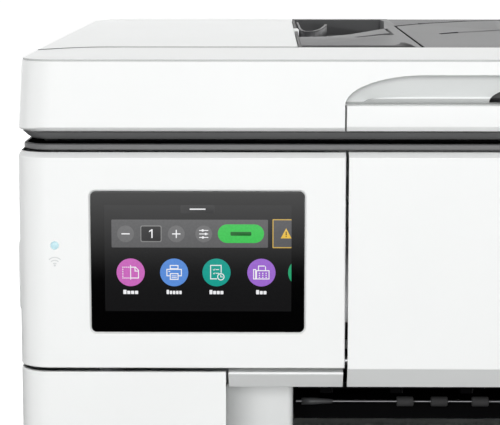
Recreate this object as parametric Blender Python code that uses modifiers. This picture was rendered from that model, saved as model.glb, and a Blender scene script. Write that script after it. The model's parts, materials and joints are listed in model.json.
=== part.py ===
"""Wide-format inkjet all-in-one printer: a scanner with document feeder over a two-tray print engine.

Metres, +Z up, +X to the printer's right, the front face looks along -Y. The origin is on the
surface the printer stands on, under the middle of the printer.
"""

import math

import bmesh
import bpy
from mathutils import Matrix, Vector

# Overall size
WIDTH = 0.584
DEPTH = 0.466
HEIGHT = 0.388
HALF = WIDTH / 2
FRONT = -DEPTH / 2
REAR = DEPTH / 2
GAP = 0.0003
SEAM = 0.0015
WALL = 0.0025
CORNER_RADIUS = 0.016
REAR_RADIUS = 0.012

# Storeys, from the table up
FOOT_HEIGHT = 0.006
PAN_TOP = 0.0103
COVER_BOTTOM = 0.0110
TRAY_2_BOTTOM = 0.0125
TRAY_PITCH = 0.0625
FASCIA_HEIGHT = 0.060
TRAY_DEPTH_IN_Z = 0.050
PANEL_BOTTOM = 0.1375
BAY_TOP = 0.2210
LOWER_PANEL_TOP = 0.2283
HOUSING_BOTTOM = 0.2303
BODY_TOP = 0.3410
RIM_TOP = 0.3460
LID_BOTTOM = 0.3514
LIP_BOTTOM = 0.3537
BED_TOP = 0.3652
LID_CEILING = 0.3700
FEEDER_FLOOR = 0.3733

# Front face, measured from the middle of the printer
HOUSING_RIGHT = -0.1250
DOOR_LEFT = -0.1235
DOOR_RIGHT = 0.2640
BAY_HALF = 0.1857
OPENING_HALF = 0.1509
SCREEN_LEFT = -0.2542
SCREEN_RIGHT = -0.1458
SCREEN_BOTTOM = 0.2491
SCREEN_TOP = 0.3215
SCREEN_RADIUS = 0.0032
CHIN_LEFT = -0.1830
BAY_WALL_REAR = -0.1560
FASCIA_BACK = -0.2047
HOUSING_BACK = -0.1880
DOOR_CHAMFER = 0.0022

# Paper trays
TRAY_HALF = 0.1720
TRAY_FRONT = -0.2115
TRAY_REAR = 0.2150
GUIDE_X = 0.1505
PULL_HALF = 0.060

# Lid and document feeder
LID_REAR = 0.2170
LID_TOP_INSET = 0.0025
LID_REAR_RADIUS = 0.030
STRIP_BACK = -0.1310
FEEDER_SPLIT = -0.1475
FEEDER_RIGHT = 0.2617
FLAP_LEFT = -0.0775
FLAP_RIGHT = 0.2590
WELL_MIDDLE = 0.0190
SCOOP_HALF = 0.1250
SCOOP_TOP = 0.3796
FINGER_HALF = 0.0525

# Print engine
ENGINE_BACK = -0.0100
CHASSIS_HALF = 0.2560
EXIT_ROLLER_Y = -0.1730
FEED_ROLLER_Y = -0.0720
ROLLER_Z = 0.1980
ROLLER_CENTRES = (0.0, 0.0243, 0.0487, 0.0710, 0.0896)
CARTRIDGE_PITCH = 0.0270
PRINT_HEAD_BOTTOM = 0.1990
CARRIAGE_LEFT = 0.1150
CARRIAGE_RIGHT = 0.2350

WHITE = (0.90, 0.91, 0.905)
PALE = (0.80, 0.81, 0.805)
GREY = (0.36, 0.36, 0.365)
DARK = (0.055, 0.056, 0.058)
BLACK = (0.012, 0.012, 0.013)
STEEL = (0.56, 0.57, 0.58)
RUBBER = (0.03, 0.03, 0.03)

for old in list(bpy.data.objects):
    bpy.data.objects.remove(old, do_unlink=True)

parts = bpy.data.collections.new("inkjet_printer")
cutters = bpy.data.collections.new("cutters")
bpy.context.scene.collection.children.link(parts)
bpy.context.scene.collection.children.link(cutters)
cutters.hide_render = True


# ---------------------------------------------------------------- shape helpers

def material_for(name, colour, roughness, metallic):
    """A Principled material of the part's own."""
    material = bpy.data.materials.new(name)
    material.use_nodes = True
    shader = material.node_tree.nodes["Principled BSDF"]
    shader.inputs["Base Color"].default_value = (*colour, 1.0)
    shader.inputs["Roughness"].default_value = roughness
    shader.inputs["Metallic"].default_value = metallic
    return material


def finish(obj, colour, roughness=0.45, metallic=0.0):
    """Give a shape its material and its place in the printer's collection."""
    obj.data.materials.clear()
    obj.data.materials.append(material_for(obj.name, colour, roughness, metallic))
    parts.objects.link(obj)
    return obj


def helper(obj):
    """Keep a shape only as a guide for Booleans."""
    cutters.objects.link(obj)
    obj.hide_render = True
    obj.display_type = "WIRE"
    return obj


def box(name, low, high, bevel=0.0, segments=2, upright_only=False):
    """A box between two corners, its edges rounded with a Bevel modifier if asked."""
    low = Vector(low)
    high = Vector(high)
    size = high - low
    mesh = bpy.data.meshes.new(name)
    shape = bmesh.new()
    bmesh.ops.create_cube(shape, size=1.0)
    bmesh.ops.scale(shape, vec=size, verts=shape.verts)
    if bevel and upright_only:
        uprights = [e for e in shape.edges if abs(e.verts[0].co.z - e.verts[1].co.z) > size.z / 2]
        bmesh.ops.bevel(shape, geom=uprights, offset=bevel, segments=segments,
                        affect="EDGES", profile=0.5)
    shape.to_mesh(mesh)
    shape.free()
    obj = bpy.data.objects.new(name, mesh)
    obj.location = (low + high) / 2
    if bevel and not upright_only:
        rounding = obj.modifiers.new("rounding", "BEVEL")
        rounding.width = bevel
        rounding.segments = segments
    return obj


def prism(name, outline, low, high, axis="Z"):
    """A flat outline pushed out along an axis.

    The outline's two numbers are (x, y) for Z, (x, z) for Y and (y, z) for X.
    """
    curve = bpy.data.curves.new(name, "CURVE")
    curve.dimensions = "2D"
    curve.fill_mode = "BOTH"
    curve.extrude = (high - low) / 2
    spline = curve.splines.new("POLY")
    spline.points.add(len(outline) - 1)
    for point, (a, b) in zip(spline.points, outline):
        point.co = (a, b, 0.0, 1.0)
    spline.use_cyclic_u = True
    flat = bpy.data.objects.new(name + "_curve", curve)
    middle = (low + high) / 2
    place = {
        "Z": Matrix.Translation((0, 0, middle)),
        "Y": Matrix.Translation((0, middle, 0)) @ Matrix.Rotation(math.pi / 2, 4, "X"),
        "X": Matrix.Translation((middle, 0, 0)) @ Matrix(((0, 0, 1, 0), (1, 0, 0, 0),
                                                         (0, 1, 0, 0), (0, 0, 0, 1))),
    }[axis]
    flat.matrix_world = place
    cutters.objects.link(flat)
    bpy.context.view_layer.update()
    seen = flat.evaluated_get(bpy.context.evaluated_depsgraph_get())
    mesh = bpy.data.meshes.new_from_object(seen)
    weld = bmesh.new()
    weld.from_mesh(mesh)
    bmesh.ops.remove_doubles(weld, verts=weld.verts, dist=0.00001)
    bmesh.ops.recalc_face_normals(weld, faces=weld.faces)
    weld.to_mesh(mesh)
    weld.free()
    mesh.transform(place)
    bpy.data.objects.remove(flat, do_unlink=True)
    obj = bpy.data.objects.new(name, mesh)
    mesh.name = name
    return obj


def arc(centre, radius, start, end, steps):
    """Points along an arc; the angles are in degrees."""
    points = []
    for i in range(steps + 1):
        angle = math.radians(start + (end - start) * i / steps)
        points.append((centre[0] + radius * math.cos(angle), centre[1] + radius * math.sin(angle)))
    return points


def rounded_plan(low, high, front_left, front_right, rear_right, rear_left, steps=5):
    """A rectangle seen from above with its own radius at each corner."""
    (x0, y0), (x1, y1) = low, high
    outline = []
    corners = (
        (x0, y0, 1, 1, front_left, 180),
        (x1, y0, -1, 1, front_right, 270),
        (x1, y1, -1, -1, rear_right, 0),
        (x0, y1, 1, -1, rear_left, 90),
    )
    for x, y, sx, sy, radius, start in corners:
        if radius:
            outline += arc((x + sx * radius, y + sy * radius), radius, start, start + 90, steps)
        else:
            outline.append((x, y))
    return outline


def wall_along(path, thickness):
    """The closed outline of a wall whose outer face follows a path, the wall to its left."""
    inner = []
    for i, point in enumerate(path):
        here = Vector(point)
        before = (here - Vector(path[i - 1])).normalized() if i else None
        after = (Vector(path[i + 1]) - here).normalized() if i < len(path) - 1 else None
        before = before or after
        after = after or before
        normal_in = Vector((-before.y, before.x))
        normal_out = Vector((-after.y, after.x))
        middle = (normal_in + normal_out).normalized()
        inner.append(tuple(here + middle * thickness / max(0.3, middle.dot(normal_in))))
    return list(path) + inner[::-1]


def turned(name, profile, centre, axis="X", steps=16):
    """A body of revolution: profile gives (radius, distance along the axis), closed on the axis."""
    mesh = bpy.data.meshes.new(name)
    shape = bmesh.new()
    line = [shape.verts.new((radius, 0.0, along)) for radius, along in profile]
    for a, b in zip(line, line[1:]):
        shape.edges.new((a, b))
    shape.to_mesh(mesh)
    shape.free()
    obj = bpy.data.objects.new(name, mesh)
    screw = obj.modifiers.new("turning", "SCREW")
    screw.steps = steps
    screw.render_steps = steps
    screw.use_merge_vertices = True
    screw.merge_threshold = 0.00001
    screw.use_smooth_shade = True
    turn = {
        "Z": Matrix.Identity(4),
        "X": Matrix.Rotation(math.pi / 2, 4, "Y"),
        "Y": Matrix.Rotation(-math.pi / 2, 4, "X"),
    }[axis]
    obj.matrix_world = Matrix.Translation(centre) @ turn
    return obj


def carve(obj, *shapes):
    """Cut shapes out of an object."""
    for shape in shapes:
        cut = obj.modifiers.new("cut " + shape.name, "BOOLEAN")
        cut.operation = "DIFFERENCE"
        cut.object = helper(shape)
    return obj


def join(obj, *shapes):
    """Make shapes one body with an object."""
    for shape in shapes:
        union = obj.modifiers.new("join " + shape.name, "BOOLEAN")
        union.operation = "UNION"
        union.object = helper(shape)
    return obj


def set_origin(obj, place):
    """Move an object's origin without moving its shape."""
    place = Vector(place)
    here = obj.matrix_world.copy() if obj.matrix_world != Matrix.Identity(4) else \
        Matrix.Translation(obj.location)
    obj.data.transform(Matrix.Translation(-place) @ here)
    obj.matrix_world = Matrix.Translation(place)
    return obj


def taper_sides(obj, low_z, high_z, inset):
    """Lean the left and right faces inwards towards the top."""
    for vertex in obj.data.vertices:
        rise = (vertex.co.z - low_z) / (high_z - low_z)
        vertex.co.x -= math.copysign(inset * rise, vertex.co.x) * (abs(vertex.co.x) / HALF) ** 4
    return obj


# ---------------------------------------------------------------- base and outer covers

def make_feet():
    """Four rubber feet under the corners of the base pan."""
    radius = 0.012
    for row, y in (("front", -0.190), ("rear", 0.190)):
        for side, x in (("left", -0.250), ("right", 0.250)):
            profile = ((0, FOOT_HEIGHT), (radius, FOOT_HEIGHT), (radius, 0.001),
                       (radius - 0.001, 0), (0, 0))
            foot = turned(f"foot_{row}_{side}", profile, (x, y, 0), axis="Z")
            finish(foot, RUBBER, 0.9)


def make_base_pan():
    """The floor of the printer, with the two walls and ledges that the trays run between."""
    pan = box("base_pan", (-0.285, -0.200, FOOT_HEIGHT + GAP), (0.285, 0.226, PAN_TOP))
    ledge_top = TRAY_2_BOTTOM + TRAY_PITCH - 0.0010
    for side in (-1, 1):
        wall = sorted((side * 0.1780, side * 0.1810))
        ledge = sorted((side * 0.1610, side * 0.1790))
        join(pan, box("tray_wall", (wall[0], -0.195, 0.0090), (wall[1], 0.222, 0.1360)))
        join(pan, box("tray_ledge", (ledge[0], -0.190, ledge_top - 0.002),
                      (ledge[1], 0.220, ledge_top)))
    finish(pan, DARK, 0.6)


def side_cover_path(side, front_wrap):
    """The outer face of a side cover seen from above, from the front backwards."""
    x = side * HALF
    path = []
    if front_wrap:
        path.append((side * (DOOR_RIGHT + SEAM), FRONT))
        path += arc((x - side * CORNER_RADIUS, FRONT + CORNER_RADIUS), CORNER_RADIUS,
                    270, 270 + side * 90, 5)
    else:
        path.append((x, FASCIA_BACK + 0.0007))
    path += arc((x - side * REAR_RADIUS, REAR - REAR_RADIUS), REAR_RADIUS,
                0 if side > 0 else 180, 90, 4)
    path.append((side * 0.2600, REAR))
    return path


def make_side_covers():
    """The left and right covers, wrapped round the rear corners; the right one wraps the front."""
    left_path = side_cover_path(-1, False)
    left = prism("left_cover", wall_along(left_path[::-1], WALL), COVER_BOTTOM, BODY_TOP - GAP)
    carve(left, box("housing_notch", (-0.300, -0.210, HOUSING_BOTTOM - 0.0007),
                    (-0.280, HOUSING_BACK + 0.0007, 0.350)))
    finish(left, WHITE)
    right_path = side_cover_path(1, True)
    right = prism("right_cover", wall_along(right_path, WALL), COVER_BOTTOM, BODY_TOP - GAP)
    carve(right, box("fascia_notch", (0.255, -0.240, 0.000),
                     (0.300, FASCIA_BACK + 0.0007, PANEL_BOTTOM)))
    finish(right, WHITE)


def make_rear():
    """The rear cover, the door over the paper turn and the mains inlet."""
    low = (-0.2595, REAR - WALL, COVER_BOTTOM)
    high = (0.2595, REAR, BODY_TOP - GAP)
    cover = box("rear_cover", low, high)
    carve(cover, box("rear_door_hole", (-0.1665, 0.20, 0.1440), (0.1665, 0.25, 0.2515)))
    carve(cover, box("inlet_hole", (-0.2355, 0.20, 0.0295), (-0.2045, 0.25, 0.0535)))
    carve(cover, box("port_hole", (0.2050, 0.20, 0.0700), (0.2230, 0.25, 0.0860)))
    carve(cover, box("usb_hole", (0.2070, 0.20, 0.0960), (0.2210, 0.25, 0.1080)))
    finish(cover, WHITE)
    door = box("rear_door", (-0.1650, REAR - WALL, 0.1455), (0.1650, REAR, 0.2500))
    join(door, box("rear_door_pull", (-0.0300, REAR - WALL - 0.0080, 0.2380),
                   (0.0300, REAR - WALL + 0.0010, 0.2400)))
    for i in range(7):
        x = -0.135 + i * 0.045
        join(door, box(f"guide_rib_{i}", (x - 0.001, REAR - WALL - 0.0060, 0.1520),
                       (x + 0.001, REAR - WALL + 0.0010, 0.2300)))
    set_origin(door, (0, REAR - WALL / 2, 0.1468))
    finish(door, DARK, 0.55)
    inlet = box("power_inlet", (-0.2350, 0.2055, 0.0300), (-0.2050, REAR - GAP, 0.0530))
    carve(inlet, box("socket", (-0.2300, 0.2160, 0.0345), (-0.2100, 0.2400, 0.0485)))
    finish(inlet, BLACK, 0.5)


# ---------------------------------------------------------------- front face

def make_lower_front():
    """The fixed front panels beside the output bay and the bay's own side walls."""
    corner = arc((-HALF + CORNER_RADIUS, FRONT + CORNER_RADIUS), CORNER_RADIUS, 180, 270, 5)
    path = [(-HALF, FASCIA_BACK)] + corner + [(-BAY_HALF, FRONT)]
    left = prism("front_left_panel", wall_along(path, WALL), PANEL_BOTTOM, LOWER_PANEL_TOP)
    finish(left, WHITE)
    path = [(BAY_HALF, FRONT), (DOOR_RIGHT + 0.0008, FRONT)]
    right = prism("front_right_panel", wall_along(path, WALL), PANEL_BOTTOM, BAY_TOP - 0.0012)
    finish(right, WHITE)
    fillet = 0.0240
    for side, name in ((-1, "bay_side_left"), (1, "bay_side_right")):
        shoulder = FRONT + 0.0335
        path = [(-BAY_HALF, FRONT + WALL + GAP)]
        path += arc((-BAY_HALF + fillet, shoulder - fillet), fillet, 180, 90, 6)
        path += arc((-OPENING_HALF - 0.0030, shoulder + 0.0030), 0.0030, 270, 360, 2)
        path.append((-OPENING_HALF, BAY_WALL_REAR))
        wall = wall_along(path, 0.0022)
        if side > 0:
            wall = [(-x, y) for x, y in wall][::-1]
        finish(prism(name, wall, 0.1484, BAY_TOP - 0.0012), PALE)


def screen_outline(grow):
    """The touch glass seen from the front, with small round corners."""
    low = (SCREEN_LEFT - grow, SCREEN_BOTTOM - grow)
    high = (SCREEN_RIGHT + grow, SCREEN_TOP + grow)
    radius = SCREEN_RADIUS + grow
    return rounded_plan(low, high, radius, radius, radius, radius, 3)


def make_control_panel():
    """The fixed housing at the upper left with its touch screen, lamp and the chin below."""
    corner = arc((-HALF + CORNER_RADIUS, FRONT + CORNER_RADIUS), CORNER_RADIUS, 180, 270, 5)
    path = [(-HALF, HOUSING_BACK)] + corner + [(HOUSING_RIGHT, FRONT), (HOUSING_RIGHT, -0.2050)]
    housing = prism("control_housing", wall_along(path, WALL), HOUSING_BOTTOM, BODY_TOP)
    inside = [(-HALF + 0.001, HOUSING_BACK - 0.0005)]
    inside += arc((-HALF + CORNER_RADIUS, FRONT + CORNER_RADIUS), CORNER_RADIUS - 0.001, 180, 270, 4)
    inside += [(HOUSING_RIGHT - 0.001, FRONT + 0.001), (HOUSING_RIGHT - 0.001, HOUSING_BACK - 0.0005)]
    join(housing, prism("housing_floor", inside, HOUSING_BOTTOM + 0.0006, HOUSING_BOTTOM + 0.0026))
    carve(housing, prism("screen_hole", screen_outline(0.0004), -0.240, -0.229, axis="Y"))
    lamp = (-0.2725, 0.2938)
    hole = turned("lamp_hole", ((0, 0.012), (0.0024, 0.012), (0.0024, 0), (0, 0)),
                  (lamp[0], -0.240, lamp[1]), axis="Y", steps=12)
    carve(housing, hole)
    carve(housing, box("button_hole", (-0.300, -0.2145, 0.2560), (-0.285, -0.2025, 0.2940)))
    finish(housing, WHITE)

    glass = prism("touch_glass", screen_outline(0.0), FRONT, FRONT + 0.0014, axis="Y")
    finish(glass, BLACK, 0.08)
    module = box("display_module", (-0.2515, FRONT + 0.0017, 0.2520),
                 (-0.1485, -0.2230, 0.3185))
    finish(module, DARK, 0.5)
    light = turned("status_light", ((0, 0.0040), (0.0020, 0.0040), (0.0020, 0), (0, 0)),
                   (lamp[0], FRONT, lamp[1]), axis="Y", steps=12)
    finish(light, (0.75, 0.92, 0.98), 0.2)

    button = box("power_button", (-0.2934, -0.2140, 0.2565), (-0.2880, -0.2030, 0.2935),
                 bevel=0.0012, segments=2)
    set_origin(button, (-0.2907, -0.2085, 0.2750))
    finish(button, WHITE)

    profile = [(-0.2326, LOWER_PANEL_TOP), (-0.2326, LOWER_PANEL_TOP - 0.0012),
               (-0.2300, BAY_TOP), (-0.2200, BAY_TOP), (-0.2200, LOWER_PANEL_TOP)]
    chin = prism("panel_chin", profile, CHIN_LEFT, HOUSING_RIGHT - 0.0007, axis="X")
    finish(chin, PALE)


def make_front_door():
    """The drop-down door over the ink cartridges: a front skin with a chin and end ribs."""
    path = [(-0.2240, BODY_TOP - GAP), (FRONT + DOOR_CHAMFER, BODY_TOP - GAP),
            (FRONT, BODY_TOP - GAP - DOOR_CHAMFER),
            (FRONT, LOWER_PANEL_TOP), (-0.2290, BAY_TOP), (-0.2240, BAY_TOP)]
    door = prism("front_door", wall_along(path, WALL), DOOR_LEFT, DOOR_RIGHT, axis="X")
    for x in (DOOR_LEFT + 0.0005, DOOR_RIGHT - WALL - 0.0005):
        rib = [(FRONT + 0.001, LOWER_PANEL_TOP), (-0.2280, BAY_TOP + 0.001),
               (-0.2245, BAY_TOP + 0.001), (-0.2245, BODY_TOP - 0.001),
               (FRONT + 0.002, BODY_TOP - 0.002)]
        join(door, prism("door_rib", rib, x, x + WALL, axis="X"))
    set_origin(door, (0, FRONT + 0.0020, BAY_TOP + 0.0015))
    finish(door, WHITE)


# ---------------------------------------------------------------- paper trays

def make_tray(number):
    """One cassette: a full-width fascia with a finger pull, an open box, guides and a stop."""
    name = f"tray_{number}"
    bottom = TRAY_2_BOTTOM + (2 - number) * TRAY_PITCH
    top = bottom + TRAY_DEPTH_IN_Z
    left = arc((-HALF + CORNER_RADIUS, FRONT + CORNER_RADIUS), CORNER_RADIUS, 180, 270, 5)
    right = arc((HALF - CORNER_RADIUS, FRONT + CORNER_RADIUS), CORNER_RADIUS, 270, 360, 5)
    path = [(-HALF, FASCIA_BACK)] + left + right + [(HALF, FASCIA_BACK)]
    tray = prism(name, wall_along(path, WALL), bottom, bottom + FASCIA_HEIGHT)
    join(tray, box("tray_box", (-TRAY_HALF, TRAY_FRONT, bottom), (TRAY_HALF, TRAY_REAR, top)))
    join(tray, box("tray_apron", (-0.150, FRONT + 0.0010, bottom),
                   (0.150, TRAY_FRONT + 0.005, bottom + 0.0022)))
    carve(tray, box("tray_inside", (-TRAY_HALF + WALL, TRAY_FRONT + WALL, bottom + 0.0022),
                    (TRAY_HALF - WALL, TRAY_REAR - WALL, top + 0.01)))
    carve(tray, box("pull", (-PULL_HALF, -0.240, bottom + 0.0120),
                    (PULL_HALF, FRONT + 0.006, bottom + 0.0340), bevel=0.004))
    set_origin(tray, (0, FRONT, bottom))
    finish(tray, WHITE)

    floor = bottom + 0.0022 + GAP
    fence = 0.032
    for side, label in ((-1, "left"), (1, "right")):
        x_fence = sorted((side * GUIDE_X, side * (GUIDE_X + 0.0022)))
        x_sole = sorted((side * (GUIDE_X + 0.001), side * (GUIDE_X - 0.040)))
        guide = box(f"{name}_guide_{label}", (x_fence[0], -0.040, floor),
                    (x_fence[1], 0.070, floor + fence))
        join(guide, box("guide_sole", (x_sole[0], -0.020, floor), (x_sole[1], 0.010, floor + 0.0014)))
        finish(guide, DARK, 0.5)
    stop = box(f"{name}_length_stop", (-0.022, TRAY_FRONT + WALL + 0.0006, floor + 0.0022),
               (0.022, TRAY_FRONT + WALL + 0.0030, floor + 0.030))
    join(stop, box("stop_sole", (-0.014, TRAY_FRONT + WALL + 0.0006, floor + 0.0020),
                   (0.014, TRAY_FRONT + WALL + 0.026, floor + 0.0034)))
    finish(stop, DARK, 0.5)


def make_output():
    """The shelf that catches the prints and the extension that slides out from under it."""
    shelf = box("output_tray", (-BAY_HALF + GAP, FRONT + 0.0030, 0.1440),
                (BAY_HALF - GAP, -0.0400, 0.1480))
    for side in (-1, 1):
        leg = sorted((side * 0.1720, side * 0.1840))
        join(shelf, box("shelf_leg", (leg[0], -0.190, 0.1363), (leg[1], -0.045, 0.1445)))
    join(shelf, box("shelf_apron", (-BAY_HALF + 2 * GAP, FRONT + 0.0030, 0.1366),
                    (BAY_HALF - 2 * GAP, FRONT + 0.0055, 0.1445)))
    carve(shelf, box("extension_slot", (-0.0860, -0.240, 0.1377), (0.0860, -0.220, 0.1417)))
    carve(shelf, box("shelf_notch", (-0.045, FRONT - 0.01, 0.13), (0.045, FRONT + 0.018, 0.16),
                     bevel=0.006, upright_only=True))
    finish(shelf, DARK, 0.5)
    slider = box("tray_extension", (-0.085, FRONT + 0.0005, 0.1382), (0.085, -0.060, 0.1412),
                 bevel=0.008, upright_only=True)
    join(slider, box("extension_lip", (-0.040, FRONT + 0.0005, 0.1390), (0.040, FRONT + 0.0025, 0.1475)))
    set_origin(slider, (0, FRONT, 0.1397))
    finish(slider, DARK, 0.5)


# ---------------------------------------------------------------- print engine

def make_chassis():
    """The sheet-metal frame of the print engine and the rail that the carriage runs on."""
    path = [(-CHASSIS_HALF, -0.1850), (-CHASSIS_HALF, ENGINE_BACK), (CHASSIS_HALF, ENGINE_BACK),
            (CHASSIS_HALF, -0.1850)]
    chassis = prism("print_chassis", wall_along(path, -0.0015), PAN_TOP + GAP, 0.3330)
    carve(chassis, box("tray_passage", (-0.2350, -0.050, 0.0), (0.2350, 0.050, 0.1550)))
    carve(chassis, box("paper_slot", (-0.1700, -0.050, 0.1900), (0.1700, 0.050, 0.2080)))
    finish(chassis, STEEL, 0.4, 1.0)
    section = [(-0.0300, 0.2650), (-0.0118, 0.2650), (-0.0118, 0.2850), (-0.0300, 0.2850),
               (-0.0300, 0.2800), (-0.0170, 0.2800), (-0.0170, 0.2700), (-0.0300, 0.2700)]
    rail = prism("carriage_rail", section, -0.2535, 0.2535, axis="X")
    finish(rail, STEEL, 0.35, 1.0)


def make_carriage():
    """The print carriage parked at the right, with its four cartridges side by side."""
    low = Vector((CARRIAGE_LEFT, -0.1855, 0.2205))
    high = Vector((CARRIAGE_RIGHT, -0.0310, 0.2900))
    carriage = box("print_carriage", low, high, bevel=0.003, segments=1)
    carve(carriage, box("cartridge_bay", (low.x + 0.005, low.y + 0.004, low.z + 0.008),
                        (high.x - 0.005, high.y - 0.028, high.z + 0.02)))
    join(carriage, box("print_head", (low.x + 0.015, -0.1500, PRINT_HEAD_BOTTOM),
                       (high.x - 0.015, -0.0980, low.z + 0.003)))
    finish(carriage, DARK, 0.5)
    first = (CARRIAGE_LEFT + CARRIAGE_RIGHT) / 2 - 1.5 * CARTRIDGE_PITCH
    inks = (("yellow", (0.75, 0.60, 0.05)), ("magenta", (0.60, 0.05, 0.25)),
            ("cyan", (0.03, 0.35, 0.60)), ("black", (0.02, 0.02, 0.02)))
    for i, (ink, colour) in enumerate(inks):
        x = first + i * CARTRIDGE_PITCH
        cartridge = box(f"ink_{ink}", (x - 0.0128, low.y + 0.0045, low.z + 0.0084),
                        (x + 0.0128, high.y - 0.0290, 0.3020), bevel=0.002, segments=1)
        join(cartridge, box("ink_grip", (x - 0.008, low.y - 0.0020, 0.2920),
                            (x + 0.008, low.y + 0.0080, 0.2980)))
        finish(cartridge, colour, 0.4)


def roller_profile(half, shaft, tyre, centres, tyre_half):
    """A shaft with raised tyres, as (radius, distance along the axis)."""
    profile = [(0, half), (shaft, half)]
    for centre in sorted({s * c for c in centres for s in (-1, 1)}, reverse=True):
        profile += [(shaft, centre + tyre_half), (tyre, centre + tyre_half),
                    (tyre, centre - tyre_half), (shaft, centre - tyre_half)]
    return profile + [(shaft, -half), (0, -half)]


def make_paper_path():
    """Platen, feed and exit rollers and the bar that carries the star wheels."""
    platen = box("platen", (-0.1500, -0.1640, 0.1860), (0.1500, -0.0850, 0.1950))
    for i in range(6):
        x = -0.125 + i * 0.050
        carve(platen, box(f"platen_well_{i}", (x - 0.018, -0.145, 0.1915), (x + 0.018, -0.100, 0.20)))
    finish(platen, DARK, 0.6)
    exit_profile = roller_profile(0.1490, 0.0022, 0.0048, ROLLER_CENTRES, 0.0049)
    finish(turned("exit_roller", exit_profile, (0, EXIT_ROLLER_Y, ROLLER_Z), steps=12),
           RUBBER, 0.8)
    feed_profile = roller_profile(0.1580, 0.0045, 0.0065, (0.040, 0.110), 0.022)
    finish(turned("feed_roller", feed_profile, (0, FEED_ROLLER_Y, ROLLER_Z), steps=12),
           STEEL, 0.5, 0.6)
    bar = box("star_wheel_bar", (-0.1480, -0.1810, 0.2070), (0.1480, -0.1650, 0.2110))
    for i in range(8):
        x = -0.133 + i * 0.038
        join(bar, box(f"wheel_holder_{i}", (x - 0.003, -0.1790, 0.2040), (x + 0.003, -0.1670, 0.2080)))
    finish(bar, DARK, 0.5)


def make_engine_blocks():
    """Motor, service station, power supply and main board."""
    motor = turned("carriage_motor", ((0, 0.0380), (0.0170, 0.0380), (0.0180, 0.0360),
                                      (0.0180, 0.0020), (0.0060, 0.0020), (0.0060, 0.0), (0, 0)),
                   (-0.2150, ENGINE_BACK + 0.0004, 0.2750), axis="Y", steps=20)
    finish(motor, STEEL, 0.35, 1.0)
    station = box("service_station", (0.1620, -0.1650, 0.1500),
                  (0.2500, -0.0600, PRINT_HEAD_BOTTOM - 0.0005))
    for i in range(4):
        x = 0.1745 + i * 0.0210
        carve(station, box(f"cap_well_{i}", (x - 0.0085, -0.150, 0.1930), (x + 0.0085, -0.110, 0.210)))
    finish(station, DARK, 0.6)
    supply = box("power_supply", (-0.2490, 0.0600, PAN_TOP + GAP), (-0.1880, 0.2000, 0.0700))
    finish(supply, GREY, 0.5)
    board = box("main_board", (0.2660, -0.0600, 0.0400), (0.2676, 0.1900, 0.2000))
    for y, z, depth in ((0.020, 0.120, 0.006), (0.100, 0.150, 0.004), (0.110, 0.080, 0.008)):
        join(board, box("chip", (0.2670, y - 0.016, z - 0.016), (0.2676 + depth, y + 0.016, z + 0.016)))
    finish(board, (0.02, 0.16, 0.07), 0.5)


# ---------------------------------------------------------------- scanner

def make_scanner():
    """The dark rim on the body, the scanner bed with its glass, the bar, rail and front lip."""
    rim = prism("top_frame", rounded_plan((-0.2890, -0.2300), (0.2890, 0.2300), 0.014, 0.014,
                                          0.012, 0.012, 4), BODY_TOP + GAP, RIM_TOP)
    carve(rim, box("rim_opening", (-0.2450, -0.1900, 0.33), (0.2450, 0.1900, 0.35)))
    for side in (-1, 1):
        post = sorted((side * 0.2050, side * 0.2350))
        join(rim, box("hinge_post", (post[0], 0.2125, RIM_TOP - 0.002), (post[1], 0.2290, 0.3630)))
    finish(rim, DARK, 0.6)

    tub = prism("scanner_base", rounded_plan((-0.2860, -0.2290), (0.2860, 0.2105), 0.013, 0.013,
                                             0.012, 0.012, 4), RIM_TOP + GAP, BED_TOP)
    carve(tub, box("tub_inside", (-0.2800, -0.2200, 0.3485), (0.2800, 0.2050, 0.3630)))
    carve(tub, box("glass_opening", (-0.2224, -0.1524, 0.3600), (0.2224, 0.1504, 0.3700)))
    finish(tub, DARK, 0.55)
    glass = box("scan_glass", (-0.2220, -0.1520, 0.3630), (0.2220, 0.1500, BED_TOP - 0.0001))
    finish(glass, (0.05, 0.06, 0.06), 0.05)
    rail = box("scan_rail", (-0.2700, -0.0050, 0.3488), (0.2700, 0.0050, 0.3518))
    finish(rail, STEEL, 0.35, 1.0)
    bar = box("scan_bar", (-0.2150, -0.1600, 0.3540), (-0.1950, 0.1600, 0.3620))
    for side in (-1, 1):
        cheek = sorted((side * 0.0060, side * 0.0100))
        join(bar, box("rail_cheek", (-0.2140, cheek[0], 0.3500), (-0.1960, cheek[1], 0.3550)))
    finish(bar, DARK, 0.5)
    lip = box("scanner_lip", (-SCOOP_HALF + SEAM / 2, FRONT, LIP_BOTTOM),
              (SCOOP_HALF - SEAM / 2, -0.2293, BED_TOP), bevel=0.0008, segments=1)
    finish(lip, WHITE)


# ---------------------------------------------------------------- lid and document feeder

def scoop_outline(half, low, high, spread):
    """An arched opening seen from the front: flat on top, its ends swept down to the sides."""
    steps = 8
    left = []
    for i in range(steps + 1):
        turn = math.pi / 2 * i / steps
        left.append((-half + spread * (1 - math.cos(turn)), low + (high - low) * math.sin(turn)))
    return [(-half, low - 0.002)] + left + [(-x, z) for x, z in left[::-1]] + [(half, low - 0.002)]


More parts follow.
